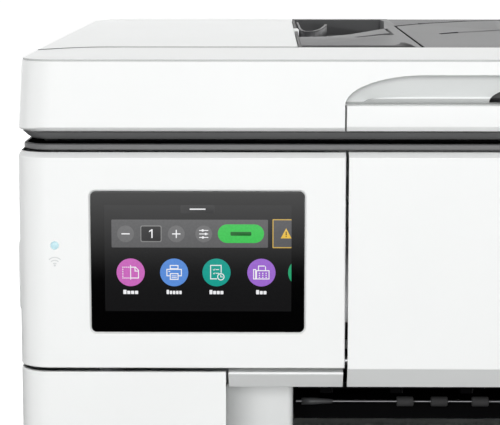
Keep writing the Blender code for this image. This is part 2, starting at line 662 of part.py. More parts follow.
def make_lid():
    """The lid frame: front strip, right strip, skirt and the plate under the document feeder."""
    plan = rounded_plan((-HALF, FRONT), (HALF, LID_REAR), 0.018, 0.018, LID_REAR_RADIUS,
                        LID_REAR_RADIUS, 6)
    lid = prism("lid_shell", plan, LID_BOTTOM, HEIGHT)
    taper_sides(lid, LID_BOTTOM, HEIGHT, LID_TOP_INSET)
    bed = rounded_plan((-0.2868, -0.2297), (0.2868, 0.300), 0.0128, 0.0128, 0, 0, 4)
    carve(lid, prism("bed_space", bed, 0.340, LID_CEILING))
    carve(lid, box("feeder_space", (-0.310, STRIP_BACK, FEEDER_FLOOR - 0.0010),
                   (FEEDER_RIGHT + 0.0004, 0.300, 0.400)))
    carve(lid, box("strip_hollow", (-0.2820, -0.1990, 0.360), (0.2820, STRIP_BACK - 0.0030, 0.3852)))
    carve(lid, box("lip_space", (-SCOOP_HALF, -0.240, 0.340), (SCOOP_HALF, -0.2285, 0.3705)))
    scoop = scoop_outline(SCOOP_HALF, BED_TOP + 0.0004, SCOOP_TOP, 0.040)
    carve(lid, prism("scoop", scoop, -0.240, FRONT + 0.0220, axis="Y"))
    finger = scoop_outline(FINGER_HALF, BED_TOP + 0.0006, SCOOP_TOP - 0.0012, 0.016)
    carve(lid, prism("finger_pocket", finger, -0.215, FRONT + 0.0310, axis="Y"))
    set_origin(lid, (0, 0.2145, 0.3685))
    finish(lid, WHITE)
    pad = box("lid_pad", (-0.2260, -0.1560, BED_TOP + 0.0005), (0.2260, 0.1540, LID_CEILING - GAP),
              bevel=0.003, upright_only=True)
    finish(pad, WHITE, 0.8)


def make_feeder_cover():
    """The white cover over the feeder's rollers, hinged along the printer's left side."""
    plan = rounded_plan((-0.2904, STRIP_BACK + 0.0005), (FEEDER_SPLIT - 0.0003, LID_REAR), 0, 0, 0,
                        LID_REAR_RADIUS, 6)
    cover = prism("adf_cover", plan, FEEDER_FLOOR, HEIGHT)
    taper_sides(cover, FEEDER_FLOOR, HEIGHT, 0.0010)
    inside = rounded_plan((-0.2864, STRIP_BACK + 0.0030), (FEEDER_SPLIT - 0.0030, LID_REAR - 0.0030),
                          0, 0, 0, LID_REAR_RADIUS - 0.003, 5)
    carve(cover, prism("cover_inside", inside, 0.370, HEIGHT - WALL))
    set_origin(cover, (-0.2898, 0, 0.3736))
    finish(cover, WHITE)
    roller = roller_profile(0.0300, 0.0022, 0.0045, (0.0150,), 0.0090)
    finish(turned("adf_pick_roller", roller, (-0.1700, 0.0350, 0.3796), axis="Y", steps=12), RUBBER, 0.9)


def make_feeder_tray():
    """The grey feeder bed: feed pocket, output slab, the well under the flap and its guides."""
    bed = box("adf_tray", (FEEDER_SPLIT + 0.0003, STRIP_BACK + 0.0005, FEEDER_FLOOR),
              (FEEDER_RIGHT - 0.0002, LID_REAR, HEIGHT))
    carve(bed, prism("flap_seat", flap_outline(0.0010), 0.3832, 0.400))
    carve(bed, box("input_well", (-0.0600, -0.1120, 0.3762), (0.2300, 0.1500, 0.400)))
    carve(bed, box("feed_pocket", (-0.1450, -0.0330, 0.3762), (-0.0850, 0.2070, 0.400)))
    carve(bed, box("feed_mouth", (-0.0900, -0.0100, 0.3762), (-0.0580, 0.1300, 0.3820)))
    finish(bed, GREY, 0.5)
    flap = prism("adf_flap", flap_outline(0.0), 0.3836, HEIGHT)
    set_origin(flap, (FLAP_RIGHT - 0.0002, 0, HEIGHT - 0.0002))
    finish(flap, GREY, 0.5)
    for side, label in ((-1, "front"), (1, "rear")):
        y = sorted((WELL_MIDDLE + side * 0.1250, WELL_MIDDLE + side * 0.1230))
        foot = sorted((WELL_MIDDLE + side * 0.1240, WELL_MIDDLE + side * 0.0950))
        guide = box(f"adf_guide_{label}", (-0.0500, y[0], 0.3766), (0.0500, y[1], 0.3824))
        join(guide, box("guide_foot", (-0.0400, foot[0], 0.3766), (0.0400, foot[1], 0.3778)))
        finish(guide, DARK, 0.5)


def flap_outline(grow):
    """The feeder flap seen from above, with one large round corner at the rear left."""
    left = FLAP_LEFT - grow
    right = FLAP_RIGHT + grow
    near = STRIP_BACK + 0.0025 - grow
    far = 0.1900 + grow
    radius = 0.070
    sweep = arc((left + radius, far - radius), radius, 90, 180, 7)
    return [(left, near), (right, near), (right, far)] + sweep


make_feet()
make_base_pan()
make_side_covers()
make_rear()
make_lower_front()
make_control_panel()
make_front_door()
make_tray(1)
make_tray(2)
make_output()
make_chassis()
make_carriage()
make_paper_path()
make_engine_blocks()
make_scanner()
make_lid()
make_feeder_cover()
make_feeder_tray()
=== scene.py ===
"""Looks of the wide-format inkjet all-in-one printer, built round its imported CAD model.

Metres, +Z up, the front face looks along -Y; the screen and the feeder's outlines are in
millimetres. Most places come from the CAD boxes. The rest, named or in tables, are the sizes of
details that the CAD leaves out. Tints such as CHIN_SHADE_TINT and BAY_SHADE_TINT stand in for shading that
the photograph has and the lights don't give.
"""
import json
import math

import bmesh
import bpy
from mathutils import Matrix, Vector


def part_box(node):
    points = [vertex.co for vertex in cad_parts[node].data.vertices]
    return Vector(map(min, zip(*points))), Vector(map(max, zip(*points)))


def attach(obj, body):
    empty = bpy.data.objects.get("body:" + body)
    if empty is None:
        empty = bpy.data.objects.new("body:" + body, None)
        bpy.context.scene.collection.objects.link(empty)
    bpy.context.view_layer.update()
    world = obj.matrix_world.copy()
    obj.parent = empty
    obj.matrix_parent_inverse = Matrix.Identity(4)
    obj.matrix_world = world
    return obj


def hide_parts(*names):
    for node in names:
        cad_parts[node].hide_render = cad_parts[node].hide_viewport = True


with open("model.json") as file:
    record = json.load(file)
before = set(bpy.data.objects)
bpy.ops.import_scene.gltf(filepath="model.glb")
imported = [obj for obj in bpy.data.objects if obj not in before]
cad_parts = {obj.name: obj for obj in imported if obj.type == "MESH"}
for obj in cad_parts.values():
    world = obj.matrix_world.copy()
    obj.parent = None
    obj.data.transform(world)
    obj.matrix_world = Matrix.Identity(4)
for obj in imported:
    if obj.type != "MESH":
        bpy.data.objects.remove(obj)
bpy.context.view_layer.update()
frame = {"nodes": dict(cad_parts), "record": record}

BODY_OF = {n: b for b, ns in frame["record"]["behaviour"]["bodies"].items() for n in ns}
BOX = {name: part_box(name) for name in frame["nodes"]}
scene = bpy.context.scene

# ---- sizes taken from the CAD boxes
LEFT = BOX["left_cover"][0].x
HALF = -LEFT
FRONT = BOX["control_housing"][0].y
REAR = BOX["rear_cover"][1].y
BODY_TOP = BOX["control_housing"][1].z
HOUSING_BOTTOM = BOX["control_housing"][0].z
HOUSING_RIGHT = BOX["control_housing"][1].x
HOUSING_BACK = BOX["control_housing"][1].y
PANEL_TOP = BOX["front_left_panel"][1].z
PANEL_BOTTOM = BOX["front_left_panel"][0].z
PANEL_BACK = BOX["front_left_panel"][1].y
BAY_HALF = -BOX["front_left_panel"][1].x
OPENING_HALF = BOX["bay_side_right"][0].x
BAY_TOP = BOX["front_door"][0].z
DOOR = BOX["front_door"]
COVER_BOTTOM = BOX["left_cover"][0].z
COVER_TOP = BOX["left_cover"][1].z
LID = BOX["lid_shell"]
LID_REAR = LID[1].y
HEIGHT = LID[1].z
LIP = BOX["scanner_lip"]
RIM = BOX["top_frame"]
BED = BOX["scanner_base"]
GLASS = BOX["touch_glass"]
FEEDER = BOX["adf_tray"]
FEEDER_COVER = BOX["adf_cover"]
FLAP = BOX["adf_flap"]

# ---- sizes of details
WALL = 0.0025
CORNER = 0.016
REAR_CORNER = 0.012
ARC_STEPS = 14
LID_CORNER = 0.018
LID_REAR_CORNER = 0.03
LID_LEAN = 0.0025
LID_CEILING = 0.37
LEDGE_TOP = 0.3646
LEDGE_BACK = -0.2065
LID_DIP = 0.002
LID_DIP_WIDTH = 0.017
STRIP_BACK = FEEDER[0].y - 0.0005
SEAM_SWEEP = 0.025
CHAMFER = 0.0024
CHAMFER_LEAN = 1.5
CHIN_LEAN = 0.0062
DOOR_LEAN = 0.0072
CHIN_LOW = BAY_TOP - 0.002
SIDE_SHARE = 0.4
LIP_HALF = -LIP[0].x + 0.0006
SCOOP_HALF = LIP_HALF + 0.0009
SCOOP_LOW = LIP[1].z
SCOOP_TOP = 0.3803
SCOOP_PROFILE = ((0.0, 0.0, 0.0), (0.004, 0.0001, 0.0), (0.0062, 0.0006, 0.0),
                 (0.0076, 0.0016, 0.0), (0.0086, 0.0032, 0.0), (0.0122, 0.0096, 0.0003),
                 (0.0132, 0.0112, 0.0012), (0.0138, 0.012, 0.0022))
FINGER_PROFILE = ((0.0, 0.0, 0.0), (0.018, 0.0004, 0.0), (0.02, 0.002, 0.0004),
                  (0.0206, 0.004, 0.0012))
FINGER_HALF = 0.0525
GAP = 0.0007
INNER_STEP = 0.0008
SIDE_COVER_END = 0.26
HOUSING_END = -0.205
EDGE = 0.0004
MERGE = 1e-6
PROUD = 0.00004
MILLIMETRES = 1000


# ---- materials

def tinted(colour, factor):
    """A colour made lighter or darker, as RGBA."""
    return (*[max(0.0, min(1.0, c * factor)) for c in colour], 1.0)


def add_node(nodes, kind, **values):
    """A shader node with the values of its inputs; _ stands for a space in their names."""
    node = nodes.new("ShaderNode" + kind)
    for socket, value in values.items():
        node.inputs[socket.replace("_", " ")].default_value = value
    return node


def new_material(name):
    """A material with its nodes, its link function and its shader."""
    result = bpy.data.materials.new(name)
    result.use_nodes = True
    nodes = result.node_tree.nodes
    return result, nodes, result.node_tree.links.new, nodes["Principled BSDF"]


def colour_ramp(nodes, colour, vary, low, high):
    """A ramp from a slightly darker to a slightly lighter tone of a colour."""
    ramp = nodes.new("ShaderNodeValToRGB")
    for element, position, factor in zip(ramp.color_ramp.elements, (low, high), (1 - vary, 1 + vary)):
        element.position = position
        element.color = tinted(colour, factor)
    return ramp


def material(name, colour, roughness=0.45, vary=0.02, cloud=14.0, grain=1500.0, bump=0.08,
             depth=0.00004, stretch=(1, 1, 1), rough_vary=0.05, **sockets):
    """A procedural finish: cloudy colour, fine grain in the surface and uneven gloss."""
    result, nodes, link, shader = new_material(name)
    coord = nodes.new("ShaderNodeTexCoord")
    mapping = add_node(nodes, "Mapping", Scale=stretch)
    clouds = add_node(nodes, "TexNoise", Scale=cloud, Detail=4.0)
    ramp = colour_ramp(nodes, colour, vary, 0.3, 0.7)
    fine = add_node(nodes, "TexNoise", Scale=grain, Detail=2.0)
    gloss = add_node(nodes, "MapRange", To_Min=max(0.0, roughness - rough_vary),
                     To_Max=min(1.0, roughness + rough_vary))
    relief = add_node(nodes, "Bump", Strength=bump, Distance=depth)
    link(coord.outputs["Object"], mapping.inputs["Vector"])
    link(mapping.outputs["Vector"], clouds.inputs["Vector"])
    link(mapping.outputs["Vector"], fine.inputs["Vector"])
    link(clouds.outputs["Fac"], ramp.inputs["Fac"])
    link(ramp.outputs["Color"], shader.inputs["Base Color"])
    link(fine.outputs["Fac"], gloss.inputs["Value"])
    link(gloss.outputs["Result"], shader.inputs["Roughness"])
    link(fine.outputs["Fac"], relief.inputs["Height"])
    link(relief.outputs["Normal"], shader.inputs["Normal"])
    for socket, value in sockets.items():
        shader.inputs[socket.replace("_", " ")].default_value = value
    return result


def grained(name, tone, roughness=0.52, vary=0.03, bump=0.25, **more):
    """A textured neutral plastic; tone is its red, and green and blue are a touch higher."""
    colour = (tone, tone + 0.001, tone + 0.003)
    return material(name, colour, roughness, vary=vary, grain=1300, bump=bump, **more)


def glow(name, colour, strength=1.0, vary=0.05):
    """Lit pixels under the glass: light whose strength follows a fine pixel grid."""
    result, nodes, link, shader = new_material(name)
    shader.inputs["Base Color"].default_value = (0.001, 0.001, 0.0012, 1)
    shader.inputs["Roughness"].default_value = 0.06
    shader.inputs["Emission Strength"].default_value = strength
    coord = nodes.new("ShaderNodeTexCoord")
    grid = add_node(nodes, "TexNoise", Scale=900.0)
    ramp = colour_ramp(nodes, colour, vary, 0.35, 0.65)
    link(coord.outputs["Object"], grid.inputs["Vector"])
    link(grid.outputs["Fac"], ramp.inputs["Fac"])
    link(ramp.outputs["Color"], shader.inputs["Emission Color"])
    return result


WHITE = material("moulded_white", (0.87, 0.882, 0.876), 0.42, vary=0.008)
PALE = material("moulded_pale", (0.8, 0.815, 0.81), 0.48, vary=0.01)
# Painted shade: a darker copy of the moulded white for the chins, whose faces look down.
CHIN_SHADE_TINT = material("chin_painted_shade", (0.735, 0.748, 0.743), 0.5, vary=0.01)
# Painted shade: a darker white for the bay walls, set back in the recess.
BAY_SHADE_TINT = material("bay_painted_shade", (0.715, 0.729, 0.724), 0.5, vary=0.01)
# Painted shade: a darker, greener white for the inside of the hand scoop.
SCOOP_SHADE_TINT = material("scoop_painted_shade", (0.825, 0.845, 0.838), 0.5, vary=0.01)
# Painted shade: a dark grey-white for the scoop's floor and the lip's top, where the gap between lid and
# lip lies in shadow.
GAP_SHADE_TINT = material("gap_painted_shade", (0.46, 0.47, 0.467), 0.55, vary=0.01)
# Painted shade: a grey for the line along the lid's top edge, the shade of the small step there.
EDGE_SHADE_TINT = material("edge_line_painted_shade", (0.5, 0.51, 0.507), 0.5, vary=0.01)
GREY = grained("textured_grey", 0.262)
# Grey of the feeder bed's rear part; on the ridge along the strip's seam it is painted shade.
REAR_GREY_AND_SEAM_SHADE = grained("rear_grey_and_seam_shade", 0.195)
RIM_GREY = grained("rim_grey", 0.14, 0.5, bump=0.2)
BED_GREY = grained("bed_grey", 0.115, 0.5, bump=0.2)
# Dark plastic; also painted shade in the lid's finger pocket and on the web of the feeder pocket's rib.
DARK_AND_SHADE = grained("textured_dark_and_painted_shade", 0.05, vary=0.06, bump=0.3)
# Painted shade: a dark grey for the far end of the feeder's pocket.
POCKET_SHADE = grained("pocket_painted_shade", 0.075, vary=0.06, bump=0.3)
# Black plastic; also painted shade in the feeder's hollows, slots, flap groove and gap strips, and on
# the base pan deep in the bay.
BLACK_AND_SHADE = material("moulded_black_and_painted_shade", (0.01, 0.01, 0.011), 0.45, vary=0.1, grain=1300, bump=0.3)
# Black plastic for the output tray, darkened further as painted shade in the bay.
SHELF_BLACK_AND_SHADE = material("shelf_black_and_painted_shade", (0.006, 0.006, 0.0063), 0.55, vary=0.15, grain=1300,
                       bump=0.3, Specular_IOR_Level=0.12)
# Black plastic for the parts deep in the bay, darkened further and without reflection as painted shade;
# also painted shade in the gaps at the rim and at the bed's foot.
INNER_BLACK_AND_SHADE = material("inner_black_and_painted_shade", (0.0035, 0.0035, 0.0038), 0.6, vary=0.15, grain=1300,
                      bump=0.3, Specular_IOR_Level=0.0)
RUBBER = material("matt_rubber", (0.03, 0.03, 0.031), 0.82, vary=0.12, grain=2200, bump=0.5,
                  depth=0.00008)
STEEL = material("brushed_steel", (0.56, 0.57, 0.58), 0.33, vary=0.05, cloud=30, grain=500,
                 bump=0.15, stretch=(1, 12, 12), rough_vary=0.12, Metallic=1.0)
TURNED = dict(vary=0.06, cloud=60, grain=700, bump=0.15, stretch=(14, 1, 1), rough_vary=0.1,
              Metallic=1.0)
DARK_STEEL = material("blackened_steel", (0.13, 0.13, 0.135), 0.35, **TURNED)
SHAFT = material("turned_steel", (0.5, 0.51, 0.52), 0.3, **TURNED)
FOAM = material("foam_white", (0.86, 0.87, 0.87), 0.85, vary=0.02, grain=700, bump=0.5,
                depth=0.0002, Sheen_Weight=0.2)
BOARD = material("solder_mask", (0.02, 0.17, 0.07), 0.4, vary=0.15, cloud=90, grain=900, bump=0.3)
INKS = {"ink_yellow": material("shell_yellow", (0.78, 0.62, 0.05), 0.38, vary=0.04),
        "ink_magenta": material("shell_magenta", (0.62, 0.05, 0.26), 0.38, vary=0.04),
        "ink_cyan": material("shell_cyan", (0.03, 0.36, 0.62), 0.38, vary=0.04),
        "ink_black": material("shell_black", (0.02, 0.02, 0.022), 0.38, vary=0.08)}
SCREEN = material("cover_glass", (0.0008, 0.0008, 0.0009), 0.05, vary=0.1, grain=300, bump=0.02,
                  depth=0.00001, rough_vary=0.01, IOR=1.5)
BED_GLASS = material("bed_glass", (0.03, 0.045, 0.04), 0.05, vary=0.1, grain=300, bump=0.02,
                     depth=0.00001, rough_vary=0.02, IOR=1.52)
MARK_GREY = material("printed_mark", (0.66, 0.68, 0.68), 0.5, vary=0.02)
SEAM_GREY = material("moulded_edge_grey", (0.5, 0.51, 0.51), 0.5, vary=0.02)
# The record's slot for each finish. For lit shapes place() picks the slot of the glass over them.
SLOT_OF = {finish.name: slot for slot, finishes in (
    ("white_plastic", (WHITE,)), ("pale_plastic", (PALE, BAY_SHADE_TINT)),
    ("grey_plastic", (GREY, REAR_GREY_AND_SEAM_SHADE, SEAM_GREY, MARK_GREY)),
    ("dark_plastic", (RIM_GREY, BED_GREY, DARK_AND_SHADE, BLACK_AND_SHADE)), ("roller_rubber", (RUBBER, SHAFT)),
    ("sheet_steel", (STEEL,)), ("white_foam", (FOAM,))) for finish in finishes}


# ---- shape helpers

def arc(cx, cy, radius, start, end, steps=ARC_STEPS):
    """Points along an arc; the angles are in degrees."""
    turns = [math.radians(start + (end - start) * i / steps) for i in range(steps + 1)]
    return [(cx + radius * math.cos(t), cy + radius * math.sin(t)) for t in turns]


def plan(x0, y0, x1, y1, radii, steps=ARC_STEPS):
    """A rectangle with one radius, or its own at the corners x0y0, x1y0, x1y1 and x0y1."""
    radii = radii if isinstance(radii, tuple) else (radii,) * 4
    places = ((x0, y0, 1, 1, 180), (x1, y0, -1, 1, 270), (x1, y1, -1, -1, 0), (x0, y1, 1, -1, 90))
    outline = []
    for (x, y, sx, sy, start), r in zip(places, radii):
        outline += arc(x + sx * r, y + sy * r, r, start, start + 90, steps) if r else [(x, y)]
    return outline


def linked(name, mesh):
    """A new object for a mesh, in the scene."""
    obj = bpy.data.objects.new(name, mesh)
    scene.collection.objects.link(obj)
    return obj


def finished(name, shape):
    """Turn a bmesh into an object, its faces looking outward."""
    bmesh.ops.recalc_face_normals(shape, faces=shape.faces)
    mesh = bpy.data.meshes.new(name)
    shape.to_mesh(mesh)
    shape.free()
    return linked(name, mesh)


def closed(name, shape):
    """Merge the doubled points of a bmesh and turn it into an object."""
    bmesh.ops.remove_doubles(shape, verts=shape.verts, dist=MERGE)
    return finished(name, shape)


def loft_into(shape, rings):
    """Add a closed solid through rings of equal point counts to a bmesh."""
    rows = [[shape.verts.new(p) for p in ring] for ring in rings]
    count = len(rows[0])
    for a, b in zip(rows, rows[1:]):
        for i in range(count):
            j = (i + 1) % count
            shape.faces.new((a[i], a[j], b[j], b[i]))
    shape.faces.new(rows[0][::-1])
    shape.faces.new(rows[-1])


def loft(name, rings):
    """A closed solid through rings of equal point counts."""
    shape = bmesh.new()
    loft_into(shape, rings)
    return closed(name, shape)


def along(axis, outline, value):
    """Place a flat outline at a distance along an axis: (x, y), (x, z) or (y, z)."""
    if axis == "Z":
        return [(a, b, value) for a, b in outline]
    if axis == "Y":
        return [(a, value, b) for a, b in outline]
    return [(value, a, b) for a, b in outline]


def stack(name, axis, levels):
    """A closed solid through outlines along an axis, each given with its place on it."""
    return loft(name, [along(axis, outline, value) for outline, value in levels])


def prism(name, outline, low, high, axis="Z"):
    """A flat outline pushed out along an axis."""
    return stack(name, axis, ((outline, low), (outline, high)))


def brick(name, low, high):
    """A square-edged block between two corners, for cutting and joining."""
    return prism(name, plan(low[0], low[1], high[0], high[1], 0), low[2], high[2])


def wall_along(path, thickness):
    """The closed outline of a wall whose outer face follows a path, the wall to its left."""
    inner = []
    for i, point in enumerate(path):
        here = Vector(point)
        before = (here - Vector(path[i - 1])).normalized() if i else None
        after = (Vector(path[i + 1]) - here).normalized() if i < len(path) - 1 else None
        before = before or after
        after = after or before
        normal_in = Vector((-before.y, before.x))
        middle = (normal_in + Vector((-after.y, after.x))).normalized()
        inner.append(tuple(here + middle * thickness / max(0.3, middle.dot(normal_in))))
    return list(path) + inner[::-1]


def turned(name, profile, centre, axis="X", steps=40):
    """A body of revolution: profile gives (radius, distance along the axis)."""
    shape = bmesh.new()
    line = [shape.verts.new((radius, 0.0, span)) for radius, span in profile]
    edges = [shape.edges.new(pair) for pair in zip(line, line[1:])]
    bmesh.ops.spin(shape, geom=line + edges, axis=(0, 0, 1), cent=(0, 0, 0), steps=steps,
                   angle=math.tau)
    obj = closed(name, shape)
    turn = {"X": Matrix.Rotation(math.pi / 2, 4, "Y"), "Y": Matrix.Rotation(-math.pi / 2, 4, "X")}
    obj.data.transform(Matrix.Translation(centre) @ turn[axis])
    return obj


def combine(obj, operation, others):
    """Cut shapes out of an object, or join them to it, and keep only the result."""
    for other in others:
        step = obj.modifiers.new("step", "BOOLEAN")
        step.operation = operation
        step.solver = "EXACT"
        step.object = other
        seen = obj.evaluated_get(bpy.context.evaluated_depsgraph_get())
        mesh = bpy.data.meshes.new_from_object(seen)
        obj.modifiers.remove(step)
        obj.data = mesh
        bpy.data.objects.remove(other, do_unlink=True)
    return obj


def cut(obj, *others):
    """Take shapes out of an object."""
    return combine(obj, "DIFFERENCE", others)


def join(obj, *others):
    """Add shapes to an object as one body."""
    return combine(obj, "UNION", others)


def rounded(obj, width, segments):
    """Round the edges, if a width is given, and return the modifier that evens the shading."""
    if width:
        rounding = obj.modifiers.new("rounding", "BEVEL")
        rounding.width = width
        rounding.segments = segments
        rounding.limit_method = "ANGLE"
        rounding.angle_limit = math.radians(32.0)
        rounding.harden_normals = False
    return obj.modifiers.new("even_shading", "WEIGHTED_NORMAL")


def place(obj, finish, body, *nodes, slot=None, width=EDGE, segments=3):
    """Finish a piece, let it ride on its body and stand for CAD nodes."""
    slot = slot or SLOT_OF.get(finish.name, "screen_glass")
    obj.data.materials.clear()
    obj.data.materials.append(finish)
    for polygon in obj.data.polygons:
        polygon.use_smooth = True
    even = rounded(obj, width, segments)
    even.keep_sharp = True
    even.weight = 80
    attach(obj, body)
    if nodes:
        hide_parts(*nodes)
    return obj


def paint(obj, finish, chosen):
    """Give another finish to the faces whose centre and normal pass a test."""
    obj.data.materials.append(finish)
    index = len(obj.data.materials) - 1
    for polygon in obj.data.polygons:
        if chosen(polygon.center, polygon.normal):
            polygon.material_index = index
    return obj


def stand_for(obj, node, finish, **more):
    """A detailed piece in place of one CAD node."""
    return place(obj, finish, BODY_OF[node], node, **more)


def keep(finish, *nodes, width=EDGE):
    """CAD nodes that stay, with rounded edges and a finish of their own."""
    for node in nodes:
        obj = frame["nodes"][node]
        obj.data.materials.clear()
        obj.data.materials.append(finish)
        rounded(obj, width, 2).keep_sharp = False


def gather(name, blocks):
    """One object from many closed solids, each given as its list of rings."""
    shape = bmesh.new()
    for rings in blocks:
        loft_into(shape, rings)
    return finished(name, shape)


def slab(outline, low, high, axis="Y"):
    """The rings of a flat outline pushed out along an axis, for gather()."""
    return [along(axis, outline, low), along(axis, outline, high)]


def cuboid(low, high):
    """The rings of a block, for gather()."""
    return slab(plan(low[0], low[1], high[0], high[1], 0), low[2], high[2], "Z")


def rod(centre, radius, low, high, axis="X", steps=20):
    """The rings of a round bar, for gather()."""
    circle = arc(centre[0], centre[1], radius, 0, 360 - 360 / steps, steps - 1)
    return slab(circle, low, high, axis)


# ---- outer covers

def upright_rings(path_at, levels):
    """Rings of a wall that stands on a plan; path_at(inset) gives its outer face seen from above."""
    rings = []
    for inset, z in levels:
        inner = path_at(max(WALL, inset + INNER_STEP))[::-1]
        rings.append(along("Z", path_at(inset) + inner, z))
    return rings


def top_rounded(low, high, chamfer=CHAMFER, foot=0.0005):
    """Levels (inset, z) of a wall with a small bottom edge and a chamfer along its top."""
    return [(foot, low), (0.0, low + foot), (0.0, high - chamfer - 0.0003),
            (0.0001, high - chamfer), (chamfer * CHAMFER_LEAN, high - 0.0002),
            (chamfer * CHAMFER_LEAN + 0.0002, high)]


def front_corner(side, inset):
    """The round front corner of the body seen from above; its side takes less of the inset."""
    centre = side * (HALF - CORNER)
    start = 180 if side < 0 else 270
    corner = []
    for a, b in arc(0.0, 0.0, 1.0, start, start + 90):
        reach = CORNER - inset * SIDE_SHARE
        corner.append((centre + a * reach, FRONT + CORNER + b * (CORNER - inset)))
    return corner


def rear_corner(side, inset):
    """The round rear corner of the body seen from above, from the side to the back."""
    centre = side * (HALF - REAR_CORNER)
    start = 0 if side > 0 else 180
    radius = REAR_CORNER - inset * SIDE_SHARE
    return arc(centre, REAR - REAR_CORNER, radius, start, 90)


def left_side(inset):
    """The left cover's outer face seen from above, from the rear to the front."""
    side = inset * SIDE_SHARE
    path = [(LEFT + side, PANEL_BACK + GAP)] + rear_corner(-1, inset) + [(-SIDE_COVER_END, REAR - side)]
    return path[::-1]


def right_side(inset):
    """The right cover's outer face seen from above, from the door to the rear."""
    path = [(DOOR[1].x + 0.0015, FRONT + inset)] + front_corner(1, inset)
    return path + rear_corner(1, inset) + [(SIDE_COVER_END, REAR - inset * SIDE_SHARE)]


def vents(x, y_first, z_low, count, pitch=0.0085, height=0.03):
    """Slots through a side cover for the air of the power supply and board."""
    slots = []
    for i in range(count):
        y = y_first + i * pitch
        slot = plan(y - 0.0014, z_low, y + 0.0014, z_low + height, 0.0013, 4)
        slots.append(slab(slot, x - 0.006, x + 0.006, "X"))
    return gather("vent_slots", slots)


def make_covers():
    """The side covers and the fixed panels beside the output bay."""
    levels = top_rounded(COVER_BOTTOM, COVER_TOP)
    left = loft("left_cover_skin", upright_rings(left_side, levels))
    notch = brick("notch", (-0.3, -0.212, HOUSING_BOTTOM - GAP),
                  (-0.28, HOUSING_BACK + GAP, 0.35))
    cut(left, notch, vents(LEFT, 0.075, 0.04, 14), vents(LEFT, -0.02, 0.25, 18))
    stand_for(left, "left_cover", WHITE)
    right = loft("right_cover_skin", upright_rings(right_side, levels))
    notch = brick("notch", (0.255, -0.24, 0.0), (0.3, PANEL_BACK + GAP, PANEL_BOTTOM))
    cut(right, notch, vents(HALF, 0.02, 0.25, 18), vents(HALF, 0.075, 0.04, 14))
    stand_for(right, "right_cover", WHITE)

    def left_panel(inset):
        edge = (LEFT + inset * SIDE_SHARE, PANEL_BACK)
        return [edge] + front_corner(-1, inset) + [(-BAY_HALF, FRONT + inset)]

    levels = [(0.0004, PANEL_BOTTOM), (0.0, PANEL_BOTTOM + 0.0004), (0.0, PANEL_TOP - 0.0007),
              (0.0002, PANEL_TOP - 0.0002), (0.0007, PANEL_TOP)]
    panel = loft("front_left_skin", upright_rings(left_panel, levels))
    stand_for(panel, "front_left_panel", WHITE)
    low, high = BOX["front_right_panel"]
    path = [(BAY_HALF, FRONT), (high.x, FRONT)]
    panel = prism("front_right_skin", wall_along(path, WALL), low.z, high.z)
    stand_for(panel, "front_right_panel", WHITE)


def make_bay_sides():
    """The curved walls that lead from the front panels into the output bay."""
    fillet = 0.024
    shoulder = FRONT + 0.0335
    rear = BOX["bay_side_left"][1].y
    for side, name in ((-1, "bay_side_left"), (1, "bay_side_right")):
        path = [(-BAY_HALF, FRONT + WALL + 0.0003)]
        path += arc(-BAY_HALF + fillet, shoulder - fillet, fillet, 180, 90, 20)
        path += arc(-OPENING_HALF - 0.003, shoulder + 0.003, 0.003, 270, 360, 6)
        path.append((-OPENING_HALF, rear))
        wall = wall_along(path, 0.0022)
        if side > 0:
            wall = [(-x, y) for x, y in wall][::-1]
        wall = prism(name + "_skin", wall, BOX[name][0].z, CHIN_LOW - 0.0006)
        # Painted shade: the bay walls take the darker white for the shade of the recess.
        stand_for(wall, name, BAY_SHADE_TINT)


# ---- control panel

def glass_outline(grow, radius=0.0027):
    """The touch glass seen from the front."""
    low, high = GLASS
    return plan(low.x - grow, low.z - grow, high.x + grow, high.z + grow, radius + grow, 8)


